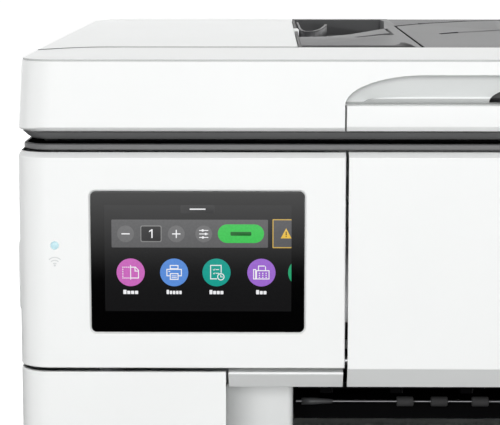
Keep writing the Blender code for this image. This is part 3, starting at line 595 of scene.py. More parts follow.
def make_housing():
    """The control housing with its glass, lamp, side button, printed marks and chin."""
    edge = 0.0009

    def path_at(inset):
        corner = front_corner(-1, inset)
        turn = arc(HOUSING_RIGHT - edge, FRONT + inset + edge, edge, 270, 360, 5)
        start = (LEFT + inset * SIDE_SHARE, HOUSING_BACK)
        return [start] + corner + turn + [(HOUSING_RIGHT, HOUSING_END)]

    rings = []
    for inset, z in top_rounded(HOUSING_BOTTOM, BODY_TOP):
        step = max(WALL, inset + INNER_STEP)
        inner = [(LEFT + step * SIDE_SHARE, HOUSING_BACK)] + front_corner(-1, step)
        inner += [(HOUSING_RIGHT - WALL, FRONT + step)] * 6 + [(HOUSING_RIGHT - WALL, HOUSING_END)]
        rings.append(along("Z", path_at(inset) + inner[::-1], z))
    housing = loft("housing_skin", rings)
    floor = [(LEFT + 0.001, HOUSING_BACK - 0.0005)] + front_corner(-1, 0.001)
    floor += [(HOUSING_RIGHT - 0.001, FRONT + 0.001), (HOUSING_RIGHT - 0.001, HOUSING_BACK - 0.0005)]
    join(housing, prism("floor", floor, HOUSING_BOTTOM + 0.0006, HOUSING_BOTTOM + 0.0026))
    hole = stack("hole", "Y", [(glass_outline(grow), FRONT + depth) for grow, depth in
                               ((0.0021, -0.001), (0.00005, 0.0009), (0.00005, 0.004))])
    low, high = BOX["status_light"]
    middle = (low + high) / 2
    lamp = prism("lamp_hole", arc(middle.x, middle.z, 0.00215, 0, 345, 23), -0.24, -0.228, "Y")
    slot = plan(-0.2142, 0.2563, -0.2028, 0.2937, 0.0028, 8)
    button = prism("button_hole", slot, -0.3, -0.285, "X")
    cut(housing, hole, lamp, button)
    stand_for(housing, "control_housing", WHITE, width=0.0003)

    glass = stack("glass_pane", "Y", ((glass_outline(-0.0004), FRONT),
                                      (glass_outline(0.0), FRONT + 0.0004),
                                      (glass_outline(0.0), GLASS[1].y)))
    stand_for(glass, "touch_glass", SCREEN, width=0.0)
    light = turned("status_lens", ((0, 0.004), (0.002, 0.004), (0.002, 0.0004),
                                   (0.0017, 0.0001), (0, 0)), (middle.x, low.y, middle.z), "Y", 32)
    stand_for(light, "status_light", glow("lamp_glow", (0.62, 0.9, 1.0), 0.85), slot="lamp", width=0)
    low, high = BOX["power_button"]
    y = (low.y + high.y) / 2
    rings = []
    for inset, x in ((0.0012, low.x), (0.0005, low.x + 0.0003), (0.0, low.x + 0.001), (0.0, high.x)):
        key = plan(low.y + inset, low.z + inset, high.y - inset, high.z - inset, 0.0026, 8)
        rings.append(along("X", key, x))
    key = loft("power_key", rings[::-1])
    stand_for(key, "power_button", WHITE, width=0)
    ring = arc(y, (low.z + high.z) / 2, 0.002, 120, 420, 18)
    mark = prism("power_mark", wall_along(ring, 0.0004), low.x - PROUD, low.x + 0.0001, "X")
    place(mark, SEAM_GREY, "button", width=0)
    waves = []
    foot = (middle.x, middle.z - 0.0102)
    for radius in (0.0014, 0.0029, 0.0044):
        fan = wall_along(arc(foot[0], foot[1], radius, 45, 135, 10), 0.00055)
        waves.append(slab(fan, FRONT - PROUD, FRONT + 0.0002))
    dot = arc(foot[0], foot[1], 0.0006, 0, 330, 11)
    waves.append(slab(dot, FRONT - PROUD, FRONT + 0.0002))
    place(gather("wireless_mark", waves), MARK_GREY, "body", width=0)

    low, high = BOX["panel_chin"]
    profile = [(high.y, high.z), (high.y, CHIN_LOW), (low.y + CHIN_LEAN, CHIN_LOW),
               (low.y + CHIN_LEAN - 0.0005, CHIN_LOW + 0.0004), (low.y, high.z - 0.0012),
               (low.y + 0.0002, high.z - 0.0003), (low.y + 0.0007, high.z)]
    chin = prism("chin_skin", profile, low.x - 0.0015, high.x, "X")
    stand_for(chin, "panel_chin", WHITE)
    # Painted shade: the chin's faces that look down and forward get the darker white.
    paint(chin, CHIN_SHADE_TINT, lambda c, n: n.y < -0.5 and n.z < -0.2)


def make_door():
    """The front door: a bent sheet with a sloping chin and a rib at each end."""
    low, high = DOOR
    top = high.z + 0.0004
    back = high.y - 0.0005
    thick = WALL * 0.9
    bend = HOUSING_BOTTOM - 0.0003
    lean = CHAMFER * CHAMFER_LEAN
    outline = [(back, top), (FRONT + lean + 0.0002, top), (FRONT + lean, top - 0.0002),
               (FRONT + 0.0001, top - CHAMFER), (FRONT, top - CHAMFER - 0.0004),
               (FRONT, bend + 0.0004), (FRONT + 0.0002, bend - 0.0001),
               (FRONT + DOOR_LEAN - 0.0003, CHIN_LOW + 0.0002), (FRONT + DOOR_LEAN, CHIN_LOW),
               (back, CHIN_LOW), (back, CHIN_LOW + thick),
               (FRONT + DOOR_LEAN + 0.001, CHIN_LOW + thick),
               (FRONT + thick, bend + 0.001), (FRONT + thick, top - CHAMFER - 0.001),
               (FRONT + lean + 0.0012, top - 0.0016), (back, top - 0.0016)]
    door = prism("door_skin", outline, low.x, high.x, "X")
    for x in (low.x + 0.0005, high.x - 0.003):
        rib = [(FRONT + 0.0012, bend), (FRONT + DOOR_LEAN + 0.0002, CHIN_LOW + 0.001),
               (back - 0.0002, CHIN_LOW + 0.001), (back - 0.0002, top - 0.001),
               (FRONT + lean + 0.0009, top - 0.0012)]
        join(door, prism("rib", rib, x, x + WALL, "X"))
    stand_for(door, "front_door", WHITE, width=0.0005)
    face = FRONT + DOOR_LEAN - 0.0005
    # Painted shade: the door's sloping chin gets the darker white.
    paint(door, CHIN_SHADE_TINT, lambda c, n: c.z < bend and c.y < face and n.y < -0.4)


# ---- lid

def dip(x):
    """How far the lid's lower edge has turned down: 0 along the front, 1 round the corners."""
    share = (abs(x) - (HALF - LID_DIP_WIDTH)) / (LID_DIP_WIDTH - 0.0015)
    return max(0.0, min(1.0, share)) ** 1.6


def lid_ring(inset, z, drop=0.0, tuck=0.0):
    """The lid's outline at a height; drop lowers its corners and tuck pulls them in."""
    lean = LID_LEAN * (z - LID[0].z) / (HEIGHT - LID[0].z)
    x = HALF - lean - inset
    radii = (LID_CORNER - inset,) * 2 + (LID_REAR_CORNER - inset,) * 2
    outline = plan(-x, FRONT + inset, x, LID_REAR - inset, radii, 16)
    points = []
    for px, py in outline:
        turned_down = dip(px)
        pull = 1 - tuck * turned_down / HALF
        points.append((px * pull, py * (1 - tuck * turned_down / 0.3), z - drop * turned_down))
    return points


def scoop_outline(half, low, high, spread, steps=18):
    """An arched opening seen from the front: flat on top, its ends swept down to the sides."""
    left = []
    for i in range(steps + 1):
        turn = math.pi / 2 * i / steps
        left.append((-half + spread * (1 - math.cos(turn)), low + (high - low) * math.sin(turn)))
    return left + [(-x, z) for x, z in left[::-1]]


def hollow(name, half, low, high, spread, y_front, profile):
    """A cutter for a scoop; profile gives (depth, fall of its ceiling, rise of its floor)."""
    rings = []
    for depth, fall, rise in profile:
        arch = scoop_outline(half - fall, low + rise, high - fall, spread)
        rings.append(along("Y", arch, y_front + depth))
    return loft(name, rings)


def seam_line(x):
    """Where the strip along the lid's front ends, swept forward at its left end."""
    share = max(0.0, min(1.0, (-0.252 - x) / 0.036))
    return STRIP_BACK - SEAM_SWEEP * share * share


def make_lid():
    """The lid: its frame with the hand scoop and finger pocket, and the ridge of painted shade along the
    front strip's seam.
    """
    low = LID[0].z
    rings = [lid_ring(*ring) for ring in (
        (0.0052, LEDGE_TOP), (0.0052, low + 0.0006, LID_DIP),
        (0.0026, low + 0.0005, LID_DIP - 0.0002, 0.002), (0.0003, low + 0.0022, 0.0014),
        (0.0, low + 0.0028, 0.0014), (0.0, HEIGHT - 0.0014), (0.00005, HEIGHT - 0.0011),
        (0.0006, HEIGHT - 0.00095), (0.0006, HEIGHT - 0.0005), (0.0002, HEIGHT - 0.0004),
        (0.0004, HEIGHT))]
    lid = loft("lid_frame", rings)
    left_edge = [(-0.31, seam_line(-0.31))]
    left_edge += [(-0.29 + 0.002 * i, seam_line(-0.29 + 0.002 * i)) for i in range(21)]
    space = left_edge + [(FEEDER[1].x + 0.0006, STRIP_BACK), (FEEDER[1].x + 0.0006, 0.3),
                         (-0.31, 0.3)]
    cut(lid, prism("feeder_space", space, FEEDER[0].z - 0.001, 0.4))
    cut(lid, brick("lip_space", (-SCOOP_HALF, -0.24, 0.34), (SCOOP_HALF, -0.227, SCOOP_LOW)))
    cut(lid, brick("bed_space", (-0.28, LEDGE_BACK, 0.36), (0.28, LID_REAR - 0.006, LID_CEILING)))
    cut(lid, hollow("scoop", SCOOP_HALF, SCOOP_LOW, SCOOP_TOP, 0.04, FRONT - 0.0001, SCOOP_PROFILE))
    cut(lid, hollow("finger", FINGER_HALF, SCOOP_LOW + 0.0004, SCOOP_TOP - 0.003, 0.045,
                    FRONT + 0.005, FINGER_PROFILE))
    stand_for(lid, "lid_shell", WHITE, width=0.00025, segments=2)
    # Painted shade: a grey band along the lid's top edge.
    paint(lid, EDGE_SHADE_TINT, lambda c, n: HEIGHT - 0.0011 < c.z < HEIGHT - 0.0001 and abs(n.z) < 0.9)

    def in_scoop(c):
        """Whether a face centre lies in the hand scoop."""
        return abs(c.x) < SCOOP_HALF and FRONT + 0.00002 < c.y < FRONT + 0.0145 \
            and SCOOP_LOW - 0.0002 < c.z < SCOOP_TOP + 0.0002

    def in_finger(c):
        """Whether a face centre lies in the finger pocket behind the scoop."""
        return abs(c.x) < FINGER_HALF + 0.001 and FRONT + 0.0145 < c.y < FRONT + 0.03 \
            and SCOOP_LOW - 0.0002 < c.z < SCOOP_TOP

    # Painted shade: the scoop's inside gets the darker white.
    paint(lid, SCOOP_SHADE_TINT, lambda c, n: in_scoop(c))
    # Painted shade: the scoop's floor and its bottom fillet get the dark grey-white.
    paint(lid, GAP_SHADE_TINT, lambda c, n: in_scoop(c) and (n.z > 0.05 or c.z < SCOOP_LOW + 0.001))
    # Painted shade: the finger pocket behind the scoop is painted dark.
    paint(lid, DARK_AND_SHADE, lambda c, n: in_finger(c))
    # Painted shade: a dark grey ridge stands for the shadow in the seam between the strip and the feeder
    # cover.
    ridge = [(x, seam_line(x)) for x in [-0.2885 + 0.002 * i for i in range(20)]]
    ridge.append((FEEDER[0].x - 0.0004, STRIP_BACK))
    ridge = prism("seam_ridge", wall_along(ridge, 0.0005), HEIGHT - 0.0006, HEIGHT + 0.00035)
    place(ridge, REAR_GREY_AND_SEAM_SHADE, "lid", width=0)


def make_lip():
    """The white lip on the scanner, in front of the lid's scoop."""
    low, high = LIP
    profile = [(low.y + 0.0003, low.z + 0.0004), (low.y, low.z + 0.001), (low.y, high.z - 0.0009),
               (low.y + 0.0003, high.z - 0.0003), (low.y + 0.0009, high.z), (high.y, high.z),
               (high.y, low.z - 0.0017), (low.y + 0.0019, low.z - 0.0017)]
    lip = prism("lip_skin", profile, -LIP_HALF, LIP_HALF, "X")
    stand_for(lip, "scanner_lip", WHITE, width=0.0003)
    # Painted shade: the lip's top, in the gap below the lid's scoop, gets the dark grey-white.
    paint(lip, GAP_SHADE_TINT, lambda c, n: n.z > 0.9 and c.z > high.z - 0.0002)


def make_rim():
    """The dark stepped rim between the body and the lid, and the scanner bed on it."""

    def ring(inset, z):
        x = -RIM[0].x - inset
        radii = (0.014 - inset,) * 2 + (0.012 - inset,) * 2
        return along("Z", plan(-x, RIM[0].y + inset, x, RIM[1].y - inset, radii, 16), z)

    low, high = RIM[0].z, BODY_TOP + 0.005
    rings = [ring(inset, low + rise) for inset, rise in (
        (0.006, 0.0), (0.006, 0.0008), (0.0004, 0.001), (0.0, 0.0014), (0.0, 0.0034),
        (0.0004, 0.0038), (0.0018, 0.004), (0.0095, 0.0041), (0.01, high - low))]
    rim = loft("rim_skin", rings)
    cut(rim, brick("opening", (-0.245, -0.19, 0.33), (0.245, 0.19, 0.35)))
    for side in (-1, 1):
        x = sorted((side * 0.205, side * 0.235))
        join(rim, brick("post", (x[0], 0.2125, high - 0.002), (x[1], 0.229, RIM[1].z)))
    stand_for(rim, "top_frame", RIM_GREY, width=0.0002)
    # Painted shade: the rim's inner step in the gap between body and bed is painted near-black.
    paint(rim, INNER_BLACK_AND_SHADE, lambda c, n: low + 0.00402 < c.z < BODY_TOP + 0.0048)

    def bed_ring(inset, z):
        x = BED[1].x - inset * 1.5
        outline = plan(-x, BED[0].y + inset, x, BED[1].y - inset, 0.011 - inset, 16)
        return along("Z", outline, z)

    foot, high = BED[0].z, BED[1].z
    flare = foot + 0.0048
    rings = [bed_ring(inset, z) for inset, z in (
        (0.0095, foot), (0.009, foot + 0.001), (0.0012, foot + 0.0012),
        (0.0004, foot + 0.0018), (-0.0006, foot + 0.0028), (-0.0018, flare - 0.0004),
        (-0.0022, flare), (0.0003, flare + 0.0001), (0.0003, high - 0.0006), (0.0009, high))]
    bed = loft("bed_skin", rings)
    cut(bed, brick("inside", (-0.28, -0.22, 0.3485), (0.28, 0.205, 0.363)))
    cut(bed, brick("pane", (-0.2224, -0.1524, 0.36), (0.2224, 0.1504, 0.37)))
    cut(bed, brick("front_ledge", (-0.3, -0.24, LEDGE_TOP - 0.0004), (0.3, LEDGE_BACK, 0.37)))
    stand_for(bed, "scanner_base", BED_GREY, width=0.0002)
    # Painted shade: the bed's foot in the gap is painted near-black.
    paint(bed, INNER_BLACK_AND_SHADE, lambda c, n: c.z < foot + 0.00125)


# ---- document feeder

def cover_ring(inset, z):
    """The feeder cover's outline at a height, its front edge along the strip's seam."""
    left = FEEDER_COVER[0].x
    right = FEEDER_COVER[1].x
    path = [(x, seam_line(x) + 0.0006 + inset) for x in [-0.29 + 0.002 * i for i in range(20)]]
    path[0] = (left + 0.0002 + inset, path[0][1])
    path += [(right - inset, STRIP_BACK + 0.0006 + inset), (right - inset, LID_REAR - inset)]
    path += arc(left + LID_REAR_CORNER, LID_REAR - LID_REAR_CORNER, LID_REAR_CORNER - inset, 90, 180, 16)
    return along("Z", path, z)


def deep(points):
    """An outline given in millimetres: X and the distance behind the front face."""
    return [(x / MILLIMETRES, FRONT + far / MILLIMETRES) for x, far in points]


def inlay(name, points, finish, bottom, top):
    """A flat piece let into the feeder bed."""
    piece = prism(name, deep(points), bottom, top)
    return place(piece, finish, BODY_OF["adf_tray"], width=0)


def make_feeder():
    """The feeder's cover, its bed with the pocket and slab, and the flap over the input side."""
    low, high = FEEDER_COVER
    rings = [cover_ring(0.0002, low.z), cover_ring(0.0, HEIGHT - 0.0009),
             cover_ring(0.0002, HEIGHT - 0.0003), cover_ring(0.0007, HEIGHT)]
    cover = loft("feeder_cover_skin", rings)
    inside = plan(low.x + 0.004, STRIP_BACK + 0.003, high.x - 0.0027, LID_REAR - 0.003,
                  (0, 0, 0, LID_REAR_CORNER - 0.003), 12)
    cut(cover, prism("inside", inside, 0.37, HEIGHT - WALL))
    stand_for(cover, "adf_cover", WHITE, width=0)

    low, high = FEEDER
    bed = brick("feeder_bed", low, high)
    pocket = deep([(-146, 208), (-130, 212), (-113, 239), (-88, 309),
                   (-82, 413), (-83.5, 436), (-146, 436)])
    cut(bed, prism("pocket", pocket, 0.377, 0.4))
    cut(bed, prism("seat", flap_outline(0.0006, 0.0018, 0.0045), 0.3832, 0.4))
    cut(bed, brick("well", (-0.06, -0.112, 0.3762), (0.23, 0.15, 0.4)))
    wedge = deep([(-112.5, 206), (-110, 203.5), (-92.5, 231), (-87.8, 231),
                  (-87.8, 250), (-92, 247)])
    cut(bed, prism("slot", wedge, 0.3805, 0.4))
    slot = deep([(-88, 230), (-86.2, 235), (-86, 308), (-88.2, 308)])
    cut(bed, prism("slot", slot, 0.3805, 0.4))
    behind = deep([(-77.5, 356), (-64, 380), (-51, 393), (-22.6, 425),
                   (-6, 433), (270, 433), (270, 460), (-77.5, 460)])
    cut(bed, prism("behind", behind, HEIGHT - 0.0003, 0.4))
    stand_for(bed, "adf_tray", GREY, width=0.0)

    def inner(c):
        """Whether a face centre lies inside the bed's hollows."""
        return c.z < HEIGHT - 0.0006 and low.x + 0.0003 < c.x < high.x - 0.0003 \
            and low.y + 0.0003 < c.y < high.y - 0.0003 and c.z > low.z + 0.0003

    # Painted shade: the hollows of the feeder bed are painted black.
    paint(bed, BLACK_AND_SHADE, lambda c, n: inner(c))
    # Painted shade: the far end of the pocket gets the dark grey.
    paint(bed, POCKET_SHADE, lambda c, n: inner(c) and c.x < -0.0815 and c.y > FRONT + 0.207)
    paint(bed, REAR_GREY_AND_SEAM_SHADE, lambda c, n: HEIGHT - 0.0004 < c.z < HEIGHT - 0.0001)
    # Painted shade: a black band stands for the shadowed slot in front of the slab.
    front_band = [(-146, 102.6), (-82.8, 102.6), (-83.4, 128), (-85.6, 150),
                  (-88, 150), (-90, 133), (-93.5, 123), (-146, 123)]
    inlay("feeder_front_band", front_band, BLACK_AND_SHADE, 0.385, HEIGHT + 0.00005)
    # Painted shade: a black strip stands for the shadow in the gap beside the feeder cover.
    edge_strip = [(-147.4, 102.6), (-145.8, 102.6), (-145.8, 444), (-147.4, 444)]
    inlay("feeder_edge_strip", edge_strip, BLACK_AND_SHADE, 0.38, HEIGHT + 0.0001)
    notch = [(-148.2, 272), (-145.2, 272), (-144.6, 290), (-145.2, 308),
             (-148.2, 308)]
    inlay("feeder_notch", notch, WHITE, 0.382, HEIGHT + 0.0002)
    curve = [(-144.6, 411), (-144.3, 340), (-143.8, 313), (-142.8, 296),
             (-140.8, 288), (-134.2, 292), (-129, 320), (-126, 353),
             (-123.8, 381)]
    # Painted shade: the rib's web is dark below its lit grey cap.
    inlay("pocket_rib_web", wall_along(curve, 1.2), DARK_AND_SHADE, 0.377, 0.3868)
    inlay("pocket_rib_cap", wall_along(curve, 1.3), GREY, 0.3868, 0.3874)

    flap = stack("flap_skin", "Z", ((flap_outline(0.0), FLAP[0].z),
                                    (flap_outline(0.0), HEIGHT - 0.0004),
                                    (flap_outline(-0.0004), HEIGHT)))
    groove = deep([(-56.5, 240), (-41.7, 257.5), (-13.1, 282.5), (190, 282.5),
                   (190, 296), (-14, 296), (-43, 269), (-57.5, 248)])
    cut(flap, prism("groove", groove, HEIGHT - 0.0012, 0.4))
    stand_for(flap, "adf_flap", GREY, width=0.0)
    # Painted shade: the flap's groove and sides are painted black.
    paint(flap, BLACK_AND_SHADE, lambda c, n: c.z < HEIGHT - 0.0005 and n.z > -0.5)


def flap_outline(grow, grow_left=None, grow_far=None):
    """The feeder flap seen from above, its rear left corner cut in a long sweep."""
    left = FLAP[0].x - (grow if grow_left is None else grow_left)
    right = FLAP[1].x + grow
    near = FLAP[0].y - grow
    far = FLAP[1].y + (grow if grow_far is None else grow_far)
    sweep = [(left + 0.075, far), (left + 0.055, far - 0.008), (left + 0.0265, far - 0.04),
             (left + 0.012, far - 0.06), (left, far - 0.082)]
    return [(left, near), (right, near), (right, far)] + sweep


# ---- paper trays and rollers

def make_trays():
    """The two paper trays with their fascias, finger pulls, guides and stops."""
    for number in (1, 2):
        name = f"tray_{number}"
        low, high = BOX[name]
        bottom = low.z
        top = bottom + 0.05

        def path_at(inset):
            side = inset * SIDE_SHARE
            ends = [(LEFT + side, PANEL_BACK)] + front_corner(-1, inset)
            return ends + front_corner(1, inset) + [(HALF - side, PANEL_BACK)]

        levels = [(0.0006, bottom), (0.0, bottom + 0.0006), (0.0, high.z - 0.0008),
                  (0.0003, high.z - 0.0003), (0.0009, high.z)]
        tray = loft(name + "_skin", upright_rings(path_at, levels))
        half, front, rear = 0.172, -0.2115, 0.215
        join(tray, brick("tub", (-half, front, bottom), (half, rear, top)),
             brick("apron", (-0.15, FRONT + 0.001, bottom + 0.0001),
                   (0.15, front + 0.005, bottom + 0.0022)))
        cut(tray, brick("inside", (-half + WALL, front + WALL, bottom + 0.0022),
                        (half - WALL, rear - WALL, top + 0.01)))
        pull = [along("Y", plan(-0.06 - g, bottom + 0.012 - g, 0.06 + g, bottom + 0.034 + g,
                                0.008 + g, 10), y)
                for g, y in ((0.0012, FRONT - 0.001), (0.0, FRONT + 0.001), (0.0, FRONT + 0.006))]
        cut(tray, loft("pull", pull))
        stand_for(tray, name, WHITE, width=0.0004)
        cup = prism(name + "_pull_cup", plan(-0.062, bottom + 0.01, 0.062, bottom + 0.036,
                                             0.009, 10), FRONT + 0.0062, FRONT + 0.008, "Y")
        place(cup, PALE, BODY_OF[name], width=0.0004)
        keep(DARK_AND_SHADE, name + "_guide_left", name + "_guide_right", name + "_length_stop")


def roller_profile(half, shaft, tyre, centres, tyre_half, edge):
    """A shaft with raised tyres, as (radius, distance along the axis)."""
    profile = [(0, half), (shaft, half)]
    for centre in sorted({s * c for c in centres for s in (-1, 1)}, reverse=True):
        profile += [(shaft, centre + tyre_half), (tyre - edge, centre + tyre_half),
                    (tyre, centre + tyre_half - edge), (tyre, centre - tyre_half + edge),
                    (tyre - edge, centre - tyre_half), (shaft, centre - tyre_half)]
    return profile + [(shaft, -half), (0, -half)]


def make_rollers():
    """The exit roller with its bushes, the feed roller and the feeder's pick roller."""
    low, high = BOX["exit_roller"]
    middle = (low + high) / 2
    centres = (0.0, 0.0243, 0.0487, 0.071, 0.0896)
    profile = roller_profile(high.x, 0.0009, 0.0027, centres, 0.0046, 0.0005)
    exit_roller = turned("exit_roller_skin", profile, middle, "X", 36)
    stand_for(exit_roller, "exit_roller", RUBBER, width=0)
    axle = Vector((0, middle.y, middle.z))
    paint(exit_roller, DARK_STEEL, lambda c, n: (Vector((0, c.y, c.z)) - axle).length < 0.00095)
    sleeves = []
    for side in (-1, 1):
        rings = []
        for x, radius in ((0.146, 0.0019), (0.14, 0.0019), (0.129, 0.0011)):
            rings.append(along("X", arc(middle.y, middle.z, radius, 0, 345, 23), side * x))
        sleeves.append(rings)
    place(gather("exit_bushes", sleeves), DARK_AND_SHADE, "body", width=0.0)
    low, high = BOX["feed_roller"]
    middle = (low + high) / 2
    profile = roller_profile(high.x, 0.0045, 0.0065, (0.04, 0.11), 0.022, 0.0004)
    feed = turned("feed_roller_skin", profile, middle, "X", 36)
    stand_for(feed, "feed_roller", SHAFT, width=0)
    low, high = BOX["adf_pick_roller"]
    middle = (low + high) / 2
    profile = roller_profile(high.y - middle.y, 0.0022, 0.0045, (0.015,), 0.009, 0.0004)
    pick = turned("pick_roller_skin", profile, middle, "Y", 30)
    stand_for(pick, "adf_pick_roller", RUBBER, width=0)


# ---- touch screen picture

WINDOW_LEFT = GLASS[0].x + 0.0071
WINDOW_TOP = GLASS[1].z - 0.0069
WINDOW_WIDE = 0.0947
LAYER = 0.00003
SCREEN_EDGE = WINDOW_WIDE * MILLIMETRES
APP_ROW = 34.5
APP_RADIUS = 7.16
LAST_APP = 100.2
STROKE = 0.45


def flat(name, outlines, finish, layer):
    """Lit shapes on the screen, given in millimetres right and down from its top left corner."""
    blocks = []
    for outline in outlines:
        points = [(WINDOW_LEFT + min(u, SCREEN_EDGE) / MILLIMETRES, WINDOW_TOP - v / MILLIMETRES)
                  for u, v in outline]
        front = FRONT - LAYER * layer
        blocks.append(slab(points, front, front + LAYER * 0.9))
    obj = gather(name, blocks)
    return place(obj, finish, "body", width=0)


def bar(u0, v0, u1, v1, radius=0.0, steps=6):
    """A rounded bar on the screen."""
    return plan(u0, v0, u1, v1, radius, steps)


def disc(u, v, radius, steps=36):
    """A disc on the screen."""
    return arc(u, v, radius, 0, 360 - 360 / steps, steps - 1)


def hoop(u, v, radius, width, start=0, end=359.5, steps=40):
    """A thin ring, or part of one, on the screen."""
    return arc(u, v, radius, start, end, steps) + arc(u, v, radius - width, end, start, steps)


def frame_of(u0, v0, u1, v1, width):
    """Four bars round a rectangle on the screen."""
    return [bar(u0, v0, u1, v0 + width), bar(u0, v1 - width, u1, v1),
            bar(u0, v0 + width, u0 + width, v1 - width), bar(u1 - width, v0 + width, u1, v1 - width)]


def icon(u, bars=(), frames=(), shapes=()):
    """Bars, frames and outlines round the middle of a disc in the row of functions."""
    v = APP_ROW
    marks = [bar(u + a, v + b, u + c, v + d) for a, b, c, d in bars]
    for a, b, c, d in frames:
        marks += frame_of(u + a, v + b, u + c, v + d, STROKE)
    return marks + [[(u + x, v + y) for x, y in shape] for shape in shapes]


# A page, its left half dashed and its corner folded.
PAGE = dict(
    bars=[(-0.225, -3.7, 0.225, 3.7), (0, 2.7, 4.2, 3.15), (0, -2.9, 2.4, -2.45),
          (3.75, -0.8, 4.2, 2.9), (2, -2.8, 2.45, -0.6), (2, -0.9, 4.1, -0.45)]
    + [(-4.2 + i, v, -3.6 + i, v + STROKE) for i in range(4) for v in (-2.9, 2.7)]
    + [(-4.2, -1.9 + i * 1.2, -3.75, -1.3 + i * 1.2) for i in range(4)],
    shapes=[[(2.1, -2.9), (2.6, -2.9), (4.2, -1.2), (4.2, -0.6)]])
# A printer with a sheet above and a printed sheet below.
PRINTER = dict(
    bars=[(-3.9, -1.8, 3.9, -1.35), (-3.9, -1.8, -3.45, 1.9), (3.45, -1.8, 3.9, 1.9),
          (-3.9, 1.5, -2.2, 1.95), (2.2, 1.5, 3.9, 1.95), (-2.9, -0.7, -2.0, -0.3),
          (-1.3, 1.6, 1.3, 1.95), (-1.3, 2.5, 1.3, 2.85)],
    frames=[(-2.2, -3.8, 2.2, -1.7), (-2.2, 0.4, 2.2, 3.8)])
# A ticked list with a clock on its corner.
LIST = dict(
    bars=[(-3.2, -3.9, 2.6, -3.45), (-3.2, -3.9, -2.75, 3.5), (-3.2, 3.05, 0.2, 3.5),
          (2.15, -3.9, 2.6, 0.1), (2.0, 1.1, 2.35, 2.4), (2.0, 2.1, 3.2, 2.45)]
    + [(-0.4, v, 1.3, v + 0.35) for v in (-1.7, 0.2)],
    shapes=[[(-1.9, v), (-1.6, v), (-1.3, v + 0.4), (-0.8, v - 0.3), (-0.6, v - 0.1), (-1.3, v + 0.8)]
            for v in (-1.7, 0.2)] + [hoop(2.2, 2.2, 1.85, STROKE)])
# A telephone with a sheet and a keypad.
FAX = dict(
    bars=[(-1.7, -3.6, 1.5, -3.15), (-1.7, -3.6, -1.25, -1.2), (1.85, -2.9, 2.3, -1.2)]
    + [(-1.3 + i * 1.7, 0.1 + row * 1.05, -0.7 + i * 1.7, 0.6 + row * 1.05)
       for row in range(3) for i in range(3)],
    frames=[(-4.2, -1.8, -2.7, 3.5), (-2.7, -1.2, 4.1, 3.5)],
    shapes=[[(1.2, -3.6), (1.6, -3.6), (2.3, -2.9), (2.3, -2.5)]])
# Each function: name, place, colour, icon, and the width and number of blocks of its word.
APPS = (("pink", 13.1, (0.58, 0.14, 0.49), PAGE, 7.9, 4),
        ("blue", 35.2, (0.102, 0.262, 0.68), PRINTER, 8.0, 5),
        ("teal", 56.7, (0.01, 0.33, 0.265), LIST, 7.4, 4),
        ("purple", 79.5, (0.33, 0.14, 0.61), FAX, 5.6, 3))
# Each field: name, outlines, name of its light, colour and layer.
FIELDS = (
    ("screen_field", [bar(0, 0, SCREEN_EDGE, 54.6, 0.4, 4)], "screen_dark", (0.0072, 0.0072, 0.0075), 1),
    ("screen_tab", [bar(38.6, 0.0, 55.9, 4.1, 0.8)], "tab_grey", (0.02, 0.02, 0.021), 2),
    ("copy_bar", [bar(3.56, 7.4, 82.8, 21.7, 0.5)], "bar_grey", (0.105, 0.105, 0.108), 2),
    ("copy_keys", [disc(u, 14.7, 4.27) for u in (10.7, 36.4, 50.3)], "key_grey",
     (0.15, 0.15, 0.153), 3),
    ("number_border", [bar(18.2, 10.4, 29.0, 18.9, 1.0)], "border", (0.22, 0.22, 0.22), 3),
    ("number_field", [bar(18.7, 10.9, 28.5, 18.4, 0.7)], "field", (0.026, 0.026, 0.027), 4),
    ("start_key", [bar(57.4, 9.8, 80.8, 19.3, 4.7)], "green", (0.04, 0.53, 0.08), 3),
    ("start_word", [bar(63.8, 13.6, 74.4, 15.6, 0.6)], "green_deep", (0.012, 0.13, 0.022), 4),
    ("alert_edge", [bar(85.1, 7.1, 94.7, 21.9, 0.3)], "amber_edge", (0.61, 0.4, 0.08), 3),
    ("alert_tile", [bar(85.6, 7.6, 94.7, 21.4, 0.2)], "tile", (0.092, 0.092, 0.098), 4),
    ("alert_sign", [[(92.0, 11.7), (94.7, 16.9), (89.25, 16.9)]], "amber", (0.8, 0.5, 0.06), 5),
    ("alert_mark", [bar(91.75, 13.4, 92.25, 15.3), bar(91.75, 15.7, 92.25, 16.2)], "mark",
     (0.05, 0.04, 0.02), 6),
)
# The lines of the keys, and the figure 1.
KEY_MARKS = [bar(43.2, 1.7, 51.3, 2.35, 0.3), bar(8.6, 14.4, 12.8, 15.0),
             bar(34.3, 14.42, 38.5, 14.98), bar(36.12, 12.6, 36.68, 16.8),
             [(22.6, 13.2), (23.9, 12.3), (24.4, 12.3), (24.4, 16.8), (23.75, 16.8),
              (23.75, 13.2), (22.6, 13.8)]]


def make_screen():
    """The lit picture: its fields, the marks on them and the row of functions."""
    for name, outlines, light, colour, layer in FIELDS:
        flat(name, outlines, glow(light, colour), layer)
    marks = list(KEY_MARKS)
    for row, knob in ((-1.8, -0.5), (0.0, 1.0), (1.8, -0.4)):
        marks += [bar(48.0, 14.5 + row, 52.6, 14.9 + row), disc(50.3 + knob, 14.7 + row, 0.62, 16)]
    for _, u, _, shapes, width, count in APPS:
        step = width / count
        for i in range(count):
            left = u - width / 2 + i * step
            marks.append(bar(left + 0.12, 44.0 if i else 43.5, left + step - 0.22, 45.7, 0.25))
        marks += icon(u, **shapes)
    flat("screen_marks", marks, glow("screen_white", (0.86, 0.86, 0.88), vary=0.02), 6)
    for label, u, colour, _, _, _ in APPS:
        flat("app_" + label, [disc(u, APP_ROW, APP_RADIUS)], glow("app_" + label, colour), 4)
    half = math.degrees(math.acos((LAST_APP - SCREEN_EDGE) / APP_RADIUS))
    segment = arc(LAST_APP, APP_ROW, APP_RADIUS, 180 - half, 180 + half, 16)
    flat("app_green", [segment], glow("app_green", (0.021, 0.35, 0.155)), 4)


# ---- what the covers hide

